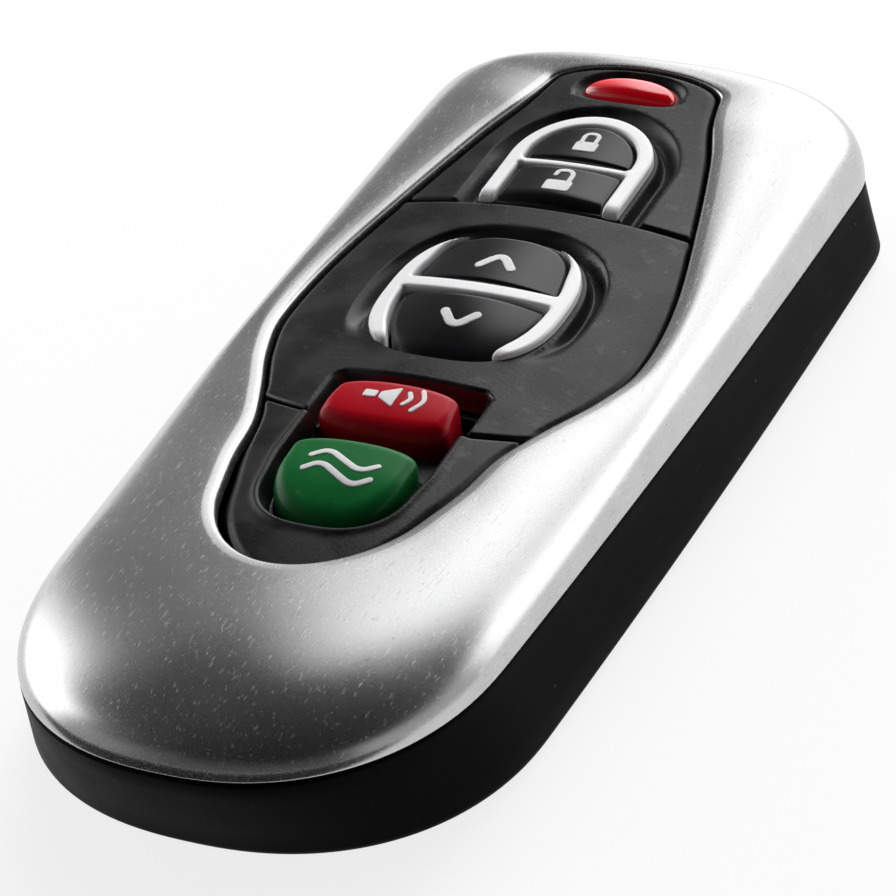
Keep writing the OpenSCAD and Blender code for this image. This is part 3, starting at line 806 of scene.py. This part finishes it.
up_r, up_l = right[right[:, 1] > seam_y + seam_half], left[left[:, 1] > seam_y + seam_half]
upper_outline = even(np.concatenate([up_r, up_l, seam_run(up_l[-1, 0], up_r[0, 0], upper_edge)]), 0.2)
mid_r, mid_l = right[in_middle(right)], left[in_middle(left)]
middle_outline = even(np.concatenate([mid_r, seam_run(mid_r[-1, 0], mid_l[0, 0], middle_far_edge), mid_l,
                                      seam_run(mid_l[-1, 0], mid_r[0, 0], middle_near_edge)]), 0.2)
low_r = right[right[:, 1] < seam_2(right[:, 0]) - seam_half]
low_l = left[left[:, 1] < seam_2(left[:, 0]) - seam_half]
lower_outline = even(np.concatenate([low_r, seam_run(low_r[-1, 0], low_l[0, 0], lower_edge), low_l]), 0.2)
well_depth = panel_z - well_z


def shoulder(points, outline):
    """drop of the panels' rolled edges: broad at the near end, tighter along the sides and at both seams"""
    tight = np.minimum(np.abs(points[:, 1] - seam_y), np.abs(points[:, 1] - seam_2(points[:, 0])))
    r = 0.28 + (0.2 + 0.52 * eased((-10 - points[:, 1]) / 7)) * eased((tight - 0.25) / 1.0)
    return roll(reach(points, outline), r)


pocket_x = 5.75
pocket_far = -3.15
pocket_near = -20
red_pocket = np.array([[pocket_x, pocket_near], [pocket_x, pocket_far],
                       [-pocket_x, pocket_far], [-pocket_x, pocket_near]])
well_ys = stations(90, -19.6, -2)
well_halves = 5.1 + 0.35 * eased((well_ys + 15.5) / 3)
green_well = both_sides(well_ys, well_halves * cap((-14.4 - well_ys) / 5.2, 2.5))
moat_depth = 1.25
moat_flat = 0.5


def moat(apart, start, fall, rise, inner):
    """depth of the groove round a button pair, from the distance outside the pair's outline"""
    down = eased((apart - start) / fall)
    return moat_depth * down * (1 - eased((apart - start - moat_flat) / rise)) + inner * (1 - down)


def upper_top(p):
    groove = moat(-reach(p, arch(arch_r, 10)), 0.2, 0.4, 1.3, 0.25)
    seat = eased((reach(p, lens_ring) + 0.75) / 0.6)
    return crown(p, 0) - shoulder(p, upper_outline) - groove - 0.45 * seat


def middle_top(p):
    groove = moat(-reach(p, oval(oval_a, oval_b)), 0.25, 0.45, 1.2, 0.18)
    groove = groove * eased((p[:, 1] - oval_y + 6.2) / 6.5)
    pocket = eased((box_reach(p, pocket_x, pocket_near, pocket_far, 0.7) + 0.35) / 0.75)
    return crown(p, 0) - np.maximum(shoulder(p, middle_outline), np.maximum(groove, well_depth * pocket))


def lower_top(p):
    around = reach(p, green_well)
    lip = 0.14 * np.exp(-((around + 0.45) / 0.28) ** 2)
    well = well_depth * eased((around + 0.25) / 0.6)
    return crown(p, 0) - np.maximum(shoulder(p, lower_outline), well) + lip


def soft_touch(place):
    cloud = place.grain(260, 4).between(0.35, 0.68)
    fine = place.grain(3800, 3)
    blot = place.grain(700, 3).between(0.6, 0.72)
    dust = place.specks(520, 0.055) * place.grain(800, 2).between(0.5, 0.6)
    pit = place.specks(300, 0.07) * place.grain(500, 2).between(0.52, 0.62)
    colour = cloud.tint((0.003, 0.003, 0.0037), (0.011, 0.011, 0.012)).over(blot * 0.6, (0.028, 0.026, 0.025))
    colour = colour.over(pit * 0.7, (0.006, 0.006, 0.007)).over(dust * 0.55, (0.17, 0.17, 0.17))
    return {"Base_Color": colour, "Roughness": 0.2 + fine * 0.12 + cloud * 0.16 - blot * 0.06,
            "Normal": (fine + cloud * 0.6 + blot * 0.5).relief(0.26, 0.00005)}


panel_soft = finish("panel_soft", soft_touch, Specular_IOR_Level=0.4)
edge_rows = [0.03, 0.08, 0.16, 0.27, 0.4, 0.55, 0.72, 0.92, 1.15]
key_holes = {
    "upper": [even(inset(arch(arch_r, arch_foot + 0.2), 0.05), 0.2), even(inset(lens_ring, 0.1), 0.2)],
    "middle": [even(inset(oval(oval_a, oval_b), 0.03), 0.2)],
    "lower": [even(inset(green_ring, -0.2), 0.25)]}
arch_rows = [0.1, 0.2, 0.28, 0.36, 0.44, 0.52, 0.6, 0.74, 0.88, 1.02, 1.16, 1.3, 1.44, 1.58, 1.72, 1.86, 2.0]
seat_rows = [0.15, 0.3, 0.45, 0.6, 0.75]
oval_rows = [0.12, 0.25, 0.34, 0.43, 0.52, 0.61, 0.7, 0.83, 0.97, 1.11, 1.25, 1.39, 1.53, 1.67, 1.81, 1.95]
slope_rows = [-0.35, -0.25, -0.15, -0.05, 0.05, 0.15, 0.25, 0.35]
well_rows = [-0.34, -0.26, -0.18, -0.1, -0.02, 0.06, 0.14, 0.22, 0.32, 0.42, 0.52, 0.62, 0.75]
key_guides = {
    "upper": [(even(arch(arch_r, arch_foot), 0.15), arch_rows), (even(lens_ring, 0.2), seat_rows)],
    "middle": [(even(oval(oval_a, oval_b), 0.15), oval_rows), (even(red_pocket, 0.15, 12), slope_rows)],
    "lower": [(even(green_well, 0.15), well_rows)]}
for key, outline, top in (("upper", upper_outline, upper_top), ("middle", middle_outline, middle_top),
                          ("lower", lower_outline, lower_top)):
    panel = slab(key + "_key_panel", outline, key_holes[key], top, panel_b, edge_rows, 0.3, key_guides[key])
    smooth(panel, 72)
    panel.data.materials.append(panel_soft)
    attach(panel, "case")
    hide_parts(key + "_panel")

# Indicator lens: a clear red moulded light pipe let into the upper panel at the lens end.
# It is polished, pillow-shaped and clipped in from below. Its colour is painted darker over the near half as
# painted shade, and the same colour is given out as a painted glow, though no lamp lights it.
lens_shade_fade = 0.7


def red_lens_painted_shade_and_glow(place):
    depth = place.grain(500, 2)
    along = place.node("ShaderNodeSeparateXYZ", {}, {"Vector": place}, 1)
    # near half painted darker red: painted shade along the lens's near edge
    edge = along.between((lens_y - lens_shade_fade) * mm, (lens_y + lens_shade_fade) * mm)
    colour = edge.tint((0.3, 0.001, 0.004), (0.72, 0.004, 0.012))
    return {"Base_Color": colour, "Roughness": 0.14 + depth * 0.06, "Emission_Color": colour}


# emission of the lens colour: a painted red glow, the lens shining though no lamp is lit in it
lens_red = finish("lens_red", red_lens_painted_shade_and_glow, Coat_Weight=1.0, Coat_Roughness=0.08, Coat_IOR=1.8,
                  Emission_Strength=0.5)


def lens_top(p):
    along = p[:, 1] - lens_y
    pillow = 0.03 * p[:, 0] ** 2 + 0.06 * along + 0.05 * along ** 2
    return crown(p, 0.4) - roll(reach(p, lens_ring), 0.8) - pillow


lens_rows = [0.02, 0.06, 0.13, 0.23, 0.36, 0.52, 0.7, 0.9]
lens_cap = slab("lens_cap", even(lens_ring, 0.2, 2), [], lens_top, panel_b, lens_rows, 0.22)
smooth(lens_cap, 50)
lens_cap.data.materials.append(lens_red)
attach(lens_cap, "case")
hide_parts("indicator_lens")

# Button trims: white glossy mouldings round the two button pairs, an arch and two side arcs, each with a bar.
# They are heat-staked into the panels' recesses and stand a little proud of them.


def trim_gloss(place):
    haze = place.grain(700, 3)
    grime = place.grain(1900, 3).between(0.66, 0.78)
    colour = haze.tint((0.78, 0.78, 0.79), (0.85, 0.85, 0.86)).over(grime * 0.3, (0.4, 0.39, 0.38))
    return {"Base_Color": colour, "Roughness": 0.2 + haze * 0.1}


trim_white = finish("trim_white", trim_gloss, Coat_Weight=0.3, Coat_Roughness=0.1)
in_r = arch_r - trim_w
bar_top = bar_y + bar_t / 2
bar_low = bar_y - bar_t / 2
outer = arch(arch_r, arch_foot)
unlock_mouth = [[-in_r, arch_foot], [-in_r, bar_low], [in_r, bar_low], [in_r, arch_foot]]
upper_trim_ring = np.concatenate([outer, unlock_mouth])
lock_mouth = arch(in_r, bar_top)
arc_low = oval_y - oval_b + 1.0
arc_high = oval_y + oval_b - 0.35
oval_top = oval_bar_y + oval_bar_t / 2
oval_low = oval_bar_y - oval_bar_t / 2


def arc_t(y):
    """width of the side arcs, which run to a point at the far end and are rounded off at the near end"""
    return (arc_w * (1 + 0.2 * eased((oval_y - y) / 5)) * eased((arc_high - y) / 4.0) ** 0.7
            * cap((arc_low + 1.8 - y) / 1.8, 2) + 0.1) * (y > arc_low) * (y < arc_high)


def arc_out(y):
    return oval_half(y, oval_a, oval_b)


def arc_in(y):
    return arc_out(y) - arc_t(y)


def arc_run(y0, y1, side, half):
    ys = stations(60, y0, y1)
    return np.column_stack([side * half(ys), ys])


middle_trim_ring = np.concatenate([
    arc_run(arc_low, arc_high - 0.15, 1, arc_out), arc_run(arc_high - 0.17, oval_top, 1, arc_in),
    arc_run(oval_top, arc_high - 0.17, -1, arc_in), arc_run(arc_high - 0.15, arc_low, -1, arc_out),
    arc_run(arc_low + 0.02, oval_low, -1, arc_in), arc_run(oval_low, arc_low + 0.02, 1, arc_in)])
trim_rows = [0.015, 0.05, 0.11, 0.19, 0.29]
for name, ring, holes, node, foot_y in (("arch_trim", upper_trim_ring, [lock_mouth], "upper_trim", arch_foot),
                                        ("oval_trim", middle_trim_ring, [], "middle_trim", arc_low)):
    outline = even(ring, 0.13, 2)
    mouths = [even(hole, 0.13, 2) for hole in holes]

    def trim_top(p):
        edge = reach(p, outline)
        for mouth in mouths:
            edge = np.minimum(edge, -reach(p, mouth))
        bar = (p[:, 1] < bar_top + 0.1) & (p[:, 1] > arch_foot)
        return (crown(p, 0.42) - roll(edge, 0.24) - 0.8 * roll(p[:, 1] - foot_y, 0.9)
                - 0.14 * bar * eased((in_r - np.abs(p[:, 0])) / 0.4))

    trim = slab(name, outline, mouths, trim_top, well_z, trim_rows, 0.2)
    smooth(trim, 50)
    trim.data.materials.append(trim_white)
    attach(trim, "case")
    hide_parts(node)

# Push buttons: six moulded caps that slide down in the panels on their domes.
# Four are graphite, one red and one green, each with a crowned top, rolled edges and a raised white sign.
button_gap = 0.2
key_z = 8.2


def key_gloss(place):
    haze = place.grain(400, 3)
    fine = place.grain(3600, 3)
    dust = place.specks(480, 0.05) * place.grain(900, 2).between(0.54, 0.62)
    colour = haze.tint((0.004, 0.004, 0.005), (0.008, 0.008, 0.009)).over(dust * 0.5, (0.2, 0.2, 0.2))
    return {"Base_Color": colour, "Roughness": 0.13 + haze * 0.08, "Normal": fine.relief(0.06, 0.00003)}


def key_colour(low, high, rough):
    def dress(place):
        haze = place.grain(420, 3)
        fine = place.grain(3600, 3)
        rub = place.grain(1300, 3).between(0.64, 0.76)
        colour = haze.tint(low, high).over(rub * 0.06, (0.4, 0.36, 0.34))
        return {"Base_Color": colour, "Roughness": rough + haze * 0.1, "Normal": fine.relief(0.08, 0.00003)}
    return dress


key_graphite = finish("key_graphite", key_gloss, Specular_IOR_Level=0.52)
red_dress = key_colour((0.33, 0.002, 0.008), (0.42, 0.003, 0.013), 0.2)
green_dress = key_colour((0.005, 0.10, 0.022), (0.008, 0.14, 0.033), 0.24)
key_red = finish("key_red", red_dress, Specular_IOR_Level=0.16)
key_green = finish("key_green", green_dress, Specular_IOR_Level=0.16)
sign_white = finish("sign_white", mottled((0.6, 0.6, 0.6), (0.78, 0.78, 0.78), 0.4, 0.15, 2600))

button_half = in_r - button_gap
lock_near = bar_top + button_gap
unlock_far = bar_low - button_gap


def cap_half(y):
    """half width of the up and down buttons, inside the side arcs"""
    return np.maximum(oval_half(y, oval_a - button_gap, oval_b - button_gap) - arc_t(y), 0.02)


far_tip = oval_y + oval_b - button_gap
near_tip = oval_y - oval_b + button_gap
button_rings = {
    "lock": arch(button_half, lock_near),
    "unlock": np.array([[button_half, arch_foot], [button_half, unlock_far],
                        [-button_half, unlock_far], [-button_half, arch_foot]]),
    "up": np.concatenate([arc_run(oval_top + button_gap, far_tip, 1, cap_half),
                          arc_run(far_tip, oval_top + button_gap, -1, cap_half)]),
    "down": np.concatenate([arc_run(near_tip, oval_low - button_gap, 1, cap_half),
                            arc_run(oval_low - button_gap, near_tip, -1, cap_half)]),
    "red": red_ring, "green": green_ring}
button_rise = {"lock": 0.4, "unlock": 0.4, "up": 0.4, "down": 0.4, "red": 0.75, "green": 0.7}
near_roll = {"lock": 0.35, "unlock": 1.3, "up": 0.35, "down": 1.7, "red": 1.1, "green": 1.3}
near_slope = {"red": 3.2, "green": 5.0}
edge_roll = {"lock": 0.3, "unlock": 0.3, "up": 0.3, "down": 0.35, "red": 0.7, "green": 0.75}


def stroke(points, width):
    """outline of a stroke of even width with round ends along points, eased to a curve"""
    line = np.array(points, float)
    for _ in range(3):
        cut = np.empty((2 * len(line) - 2, 2))
        cut[0::2], cut[1::2] = line[:-1] * 0.75 + line[1:] * 0.25, line[:-1] * 0.25 + line[1:] * 0.75
        line = np.vstack([line[:1], cut, line[-1:]])
    t = np.gradient(line, axis=0)
    t /= np.linalg.norm(t, axis=1, keepdims=True)
    side = np.column_stack([t[:, 1], -t[:, 0]]) * width / 2
    bow = np.radians(np.linspace(15, 165, 9))[:, None]
    far_end = line[-1] + side[-1] * np.cos(bow) + t[-1] * width / 2 * np.sin(bow)
    near_end = line[0] - side[0] * np.cos(bow) - t[0] * width / 2 * np.sin(bow)
    return np.concatenate([line + side, far_end, (line - side)[::-1], near_end])


signs = {
    "lock": [even(np.array([[0.75, 26.35], [0.75, 27.35], [-0.75, 27.35], [-0.75, 26.35]]), 0.08, 6),
             stroke([(0.45, 27.3), (0.47, 28.25), (-0.47, 28.25), (-0.45, 27.3)], 0.3)],
    "unlock": [even(np.array([[0.8, 21.15], [0.8, 22.15], [-0.8, 22.15], [-0.8, 21.15]]), 0.08, 6),
               stroke([(0.5, 22.1), (0.5, 23.15), (-0.45, 23.15), (-0.5, 22.7)], 0.3)],
    "up": [stroke([(-1.1, 10.6), (0.0, 12.0), (1.1, 10.6)], 0.62)],
    "down": [stroke([(-1.1, 4.6), (0.0, 3.2), (1.1, 4.6)], 0.62)],
    "red": [even(np.array([[-0.9, -6.8], [-0.9, -6.2], [-1.7, -6.2], [-1.7, -6.8]]), 0.08, 2),
            even(np.array([[0.3, -7.35], [0.3, -5.65], [-0.75, -6.25], [-0.75, -6.75]]), 0.08, 2),
            stroke([(0.85, -7.0), (1.15, -6.5), (0.85, -6.0)], 0.28),
            stroke([(1.5, -7.35), (1.95, -6.5), (1.5, -5.65)], 0.28)],
    "green": [stroke([(-2.2, -13.9), (-1.3, -13.2), (0.0, -14.0), (1.3, -14.7), (2.2, -14.0)], 0.42),
              stroke([(-2.2, -15.1), (-1.3, -14.4), (0.0, -15.2), (1.3, -15.9), (2.2, -15.2)], 0.42)]}
sign_rise = 0.06
sign_root = 0.12
sign_scale = {"lock": 1.2, "unlock": 1.3, "up": 1.1, "down": 1.1, "red": 1.25, "green": 1.12}
for key, ring in button_rings.items():
    outline = even(ring, 0.16, 3)
    rise, near_r, edge_r = button_rise[key], near_roll[key], edge_roll[key]
    near_line, far_line = outline[:, 1].min(), outline[:, 1].max()

    def button_top(p):
        x, y = p[:, 0], p[:, 1]
        if key in ("red", "green"):
            lean = eased(1.25 - 2.2 * (y - near_line) / (far_line - near_line))
            dip = 0.05 * np.maximum(near_line + near_slope[key] - y, 0) ** 2
            return crown(p, rise) - dip - 0.9 * roll(reach(p, outline), edge_r + (near_r - edge_r) * lean)
        to_near, fall = y - near_line, 0.016 * x * x
        if key == "down":
            fall = fall + 0.022 * (far_line - y) ** 2
            round_in = np.abs(x / oval_a) ** oval_e + np.abs((y - oval_y) / oval_b) ** oval_e
            to_near = (1 - round_in ** (1 / oval_e)) * oval_b + 3 * eased((y - oval_y + 5) / 3)
        edge = np.maximum(roll(reach(p, outline), edge_r), 0.8 * roll(to_near, near_r))
        return crown(p, rise) - fall - edge

    button_rows = [d * near_r for d in (0.01, 0.04, 0.08, 0.14, 0.22, 0.32, 0.45, 0.6, 0.8, 1.0)]
    button = slab(key + "_cap", outline, [], button_top, key_z, button_rows, 0.2)
    smooth(button, 50)
    shade = {"red": key_red, "green": key_green}.get(key, key_graphite)
    button.data.materials.append(shade)
    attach(button, key + "_key")
    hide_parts(key + "_button")
    centre = np.array([0, key_places[key]])
    for k, mark in enumerate(signs[key]):
        mark = centre + (mark - centre) * sign_scale[key]

        def sign_top(p):
            return button_top(p) + sign_rise - roll(reach(p, mark), 0.05)

        def sign_floor(p):
            return button_top(p) - sign_root

        sign = slab(f"{key}_sign_{k + 1}", mark, [], sign_top, sign_floor, [0.02, 0.05], 0.12)
        smooth(sign, 50)
        sign.data.materials.append(sign_white)
        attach(sign, key + "_key")

# Top cover: a silver-painted moulding that rolls over from the parting line to a lip round the opening.
# The paint is a satin metallic with fine flakes and short handling marks, and the four screws hold it.
lip_w = 0.95
lip_drop = 0.1
lip_fall, lip_half = 0.75, 10
lip_sweep, lip_flat_y, lip_run = 0.7, -5.9, 37.6


def lip_z(ring):
    """height of the lip, which falls to its sides and sweeps up to both ends"""
    across, along = ring[:, 0] / lip_half, (ring[:, 1] - lip_flat_y) / lip_run
    return panel_z - lip_drop - lip_fall * across ** 2 + lip_sweep * along ** 2


lip_taper = 1 - 0.65 * eased((open_ring[:, 1] - 36) / 2.5)
ridge = open_ring + (inset(open_ring, -lip_w) - open_ring) * lip_taper[:, None]
ridge_z = lip_z(ridge) + 0.4 - 0.28 * eased((ridge[:, 1] - 32) / 5)
rim_z = part_z(rim[:, 1])
cover_r = 0.16
rings = [at_height(inset(rim, cover_r * (1 - math.sin(t))), rim_z + cover_r * (1 - math.cos(t)) + 0.02)
         for t in bend[:-1]]
bulge = 0.87 - 0.13 * eased((rim[:, 1] + 5) / 45)
for t in np.radians(np.concatenate([[1.2, 2.5], np.arange(4, 90, 3), [90]])):
    out, up = 1 - math.cos(t) ** bulge, math.sin(t) ** bulge
    height = np.maximum(rim_z + (ridge_z - rim_z) * up, rim_z + 0.2)
    rings.append(at_height(rim + (ridge - rim) * out[:, None], height))
edge_z = lip_z(open_ring)
lip_profile = [(0.06, 0.003), (0.14, 0.01), (0.25, 0.023), (0.45, 0.049), (0.62, 0.075), (0.74, 0.105),
               (0.83, 0.15), (0.9, 0.21), (0.95, 0.3), (0.98, 0.42), (0.995, 0.54), (1.0, 0.7)]
for across, drop in lip_profile:
    rings.append(at_height(ridge + (open_ring - ridge) * across, ridge_z - drop * lip_taper))
rings.append(at_height(open_ring, edge_z - 0.8))
under_z = lip_z(ridge) - 0.9
for t in np.radians([90, 70, 50, 30, 15, 0]):
    rings.append(at_height(rim_in + (ridge - rim_in) * (1 - math.cos(t)),
                           part_z(rim_in[:, 1]) + 0.02 + (under_z - part_z(rim_in[:, 1])) * math.sin(t)))


def silver_paint(place):
    cloud = place.grain(120, 4).between(0.3, 0.7)
    flake = place.grain(6500, 2)
    glint = flake.between(0.52, 0.66)
    mark = place.grain(5200, 1, (1, 0.22, 1), 0.5).between(0.62, 0.74)
    mark_2 = place.grain(4800, 1, (1, 0.22, 1), -0.7).between(0.62, 0.74)
    speck = place.specks(900, 0.12) * place.grain(700, 2).between(0.46, 0.6)
    colour = cloud.tint((0.52, 0.52, 0.525), (0.58, 0.58, 0.585)).over(glint * 0.3, (0.68, 0.68, 0.68))
    colour = colour.over(mark * 0.3, (0.85, 0.85, 0.85)).over(mark_2 * 0.22, (0.3, 0.3, 0.305))
    colour = colour.over(speck * 0.35, (0.25, 0.25, 0.255))
    return {"Base_Color": colour, "Roughness": 0.18 + flake * 0.08 + cloud * 0.04 + mark * 0.06,
            "Metallic": 0.92 - mark * 0.1 - glint * 0.02,
            "Normal": (flake * 0.4 + mark * 0.25 - mark_2 * 0.2).relief(0.07, 0.00004)}


cover_silver = finish("cover_silver", silver_paint)
cover_shell = piece("cover_shell", *loft(rings, True))
smooth(cover_shell, 50)
cover_shell.data.materials.append(cover_silver)
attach(cover_shell, "case")
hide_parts("top_cover")

# Stage: a plain white floor in soft studio light, and the camera at the photograph's angle.
# A wide low screen of light stands behind and a smaller one at the left, with a soft box over the first.
# A black cloth lies in front, out of the picture, and shows only as the dark band in the cover's gloss.


def floor_white(place):
    haze = place.grain(30, 2)
    return {"Base_Color": haze.tint((0.9, 0.9, 0.9), (0.92, 0.92, 0.92))}


floor = piece("floor", *block((-3000, -3000, -20), (3000, 3000, -0.02)))
floor_paint = finish("floor_white", floor_white, Roughness=0.9, Specular_IOR_Level=0.0)
floor_tree = floor_paint.node_tree
ray = floor_tree.nodes.new("ShaderNodeLightPath").outputs
floor_glow = 0.82
seen = (Tone(floor_tree, ray["Is Camera Ray"]) + Tone(floor_tree, ray["Is Glossy Ray"])
        + Tone(floor_tree, ray["Is Transmission Ray"]))
pale = floor_tree.nodes.new("ShaderNodeEmission")
blend = floor_tree.nodes.new("ShaderNodeMixShader")
floor_tree.links.new((seen * floor_glow).socket, blend.inputs[0])
floor_tree.links.new(floor_tree.nodes["Principled BSDF"].outputs[0], blend.inputs[1])
floor_tree.links.new(pale.outputs[0], blend.inputs[2])
floor_tree.links.new(blend.outputs[0], floor_tree.nodes["Material Output"].inputs["Surface"])
floor.data.materials.append(floor_paint)


def flag_cloth(place):
    return {"Base_Color": place.grain(400, 2).tint((0.004, 0.004, 0.004), (0.008, 0.008, 0.008))}


flag = piece("flag", *block((-200, -400, 0.0), (300, -46, 0.3)))
flag.data.materials.append(finish("flag_black", flag_cloth, Roughness=0.9, Specular_IOR_Level=0.0))
flag.visible_camera = False
flag.visible_diffuse = False
flag.visible_shadow = False

world = bpy.data.worlds.new("studio")
bpy.context.scene.world = world
world.use_nodes = True
sky = world.node_tree
sky_light = sky.nodes["Background"]
toward = Tone(sky, sky.nodes.new("ShaderNodeTexCoord").outputs["Generated"])
toward_x, toward_y, toward_z = (toward.node("ShaderNodeSeparateXYZ", {}, {"Vector": toward}, k)
                                for k in range(3))
level_run = (1 - toward_z * toward_z) ** 0.5


def screen(azimuth, wide, fade, low, high):
    """light from round a compass direction, 0 being straight behind, that fades out with height"""
    turn = math.radians(azimuth)
    along = (toward_x * math.sin(turn) + toward_y * math.cos(turn)) / level_run
    across = along.between(math.cos(math.radians(wide + fade)), math.cos(math.radians(wide)))
    return across * (1 - toward_z.between(math.sin(math.radians(low)), math.sin(math.radians(high))))


lean = 1 - (toward_z + toward_x * 0.45).between(0.74, 0.95)
level = (0.01 + (1 - toward_z.between(0.2, 0.7)) * 0.08 + screen(14, 28, 20, 50, 64) * lean * 1.95
         + screen(-82, 10, 22, 30, 46) * 2.4 + screen(-70, 42, 30, 38, 60) * 0.14
         + screen(76, 36, 18, 22, 42) * 0.4 + screen(-122, 14, 20, 25, 42) * 0.2)
sky.links.new(level.socket, sky_light.inputs["Strength"])
sky_light.inputs["Color"].default_value = (1, 1, 1, 1)


def soft_box(name, place, aim, size, watts):
    lamp = bpy.data.lights.new(name, "AREA")
    lamp.shape = "SQUARE"
    lamp.size = size
    lamp.energy = watts
    box = bpy.data.objects.new(name, lamp)
    box.location = place
    box.rotation_euler = (Vector(aim) - Vector(place)).to_track_quat("-Z", "Y").to_euler()
    box.visible_glossy = False
    bpy.context.scene.collection.objects.link(box)


soft_box("back_box", (-0.12, 0.58, 0.44), (0, 0, 0), 0.5, 6.0)

picture_w = 896
focal = 4068.33
aim_right, aim_down = 6.677, 34.782
look_z = 0.0065
eye_far = 0.280376
azimuth, elevation, tilt = math.radians(29.122), math.radians(33.777), math.radians(-7.829)
across = Vector((math.cos(azimuth), math.sin(azimuth), 0))
back = Vector((across.y, -across.x, 0)) * math.cos(elevation) + Vector((0, 0, math.sin(elevation)))
upward = back.cross(across)
across_2 = across * math.cos(tilt) + upward * math.sin(tilt)
upward_2 = upward * math.cos(tilt) - across * math.sin(tilt)
aim = (across_2 * (aim_right / focal) - upward_2 * (aim_down / focal) - back).normalized()
side = (across_2 - aim * across_2.dot(aim)).normalized()
over = side.cross(aim)
lens = bpy.data.cameras.new("view")
lens.sensor_width = 36
lens.lens = lens.sensor_width * focal / picture_w
lens.clip_start = 0.01
camera = bpy.data.objects.new("view", lens)
eye = Vector((0, 0, look_z)) + back * eye_far
camera.matrix_world = Matrix.Translation(eye) @ Matrix((side, over, -aim)).transposed().to_4x4()
bpy.context.scene.collection.objects.link(camera)
bpy.context.scene.camera = camera
bpy.context.scene.view_settings.view_transform = "Standard"
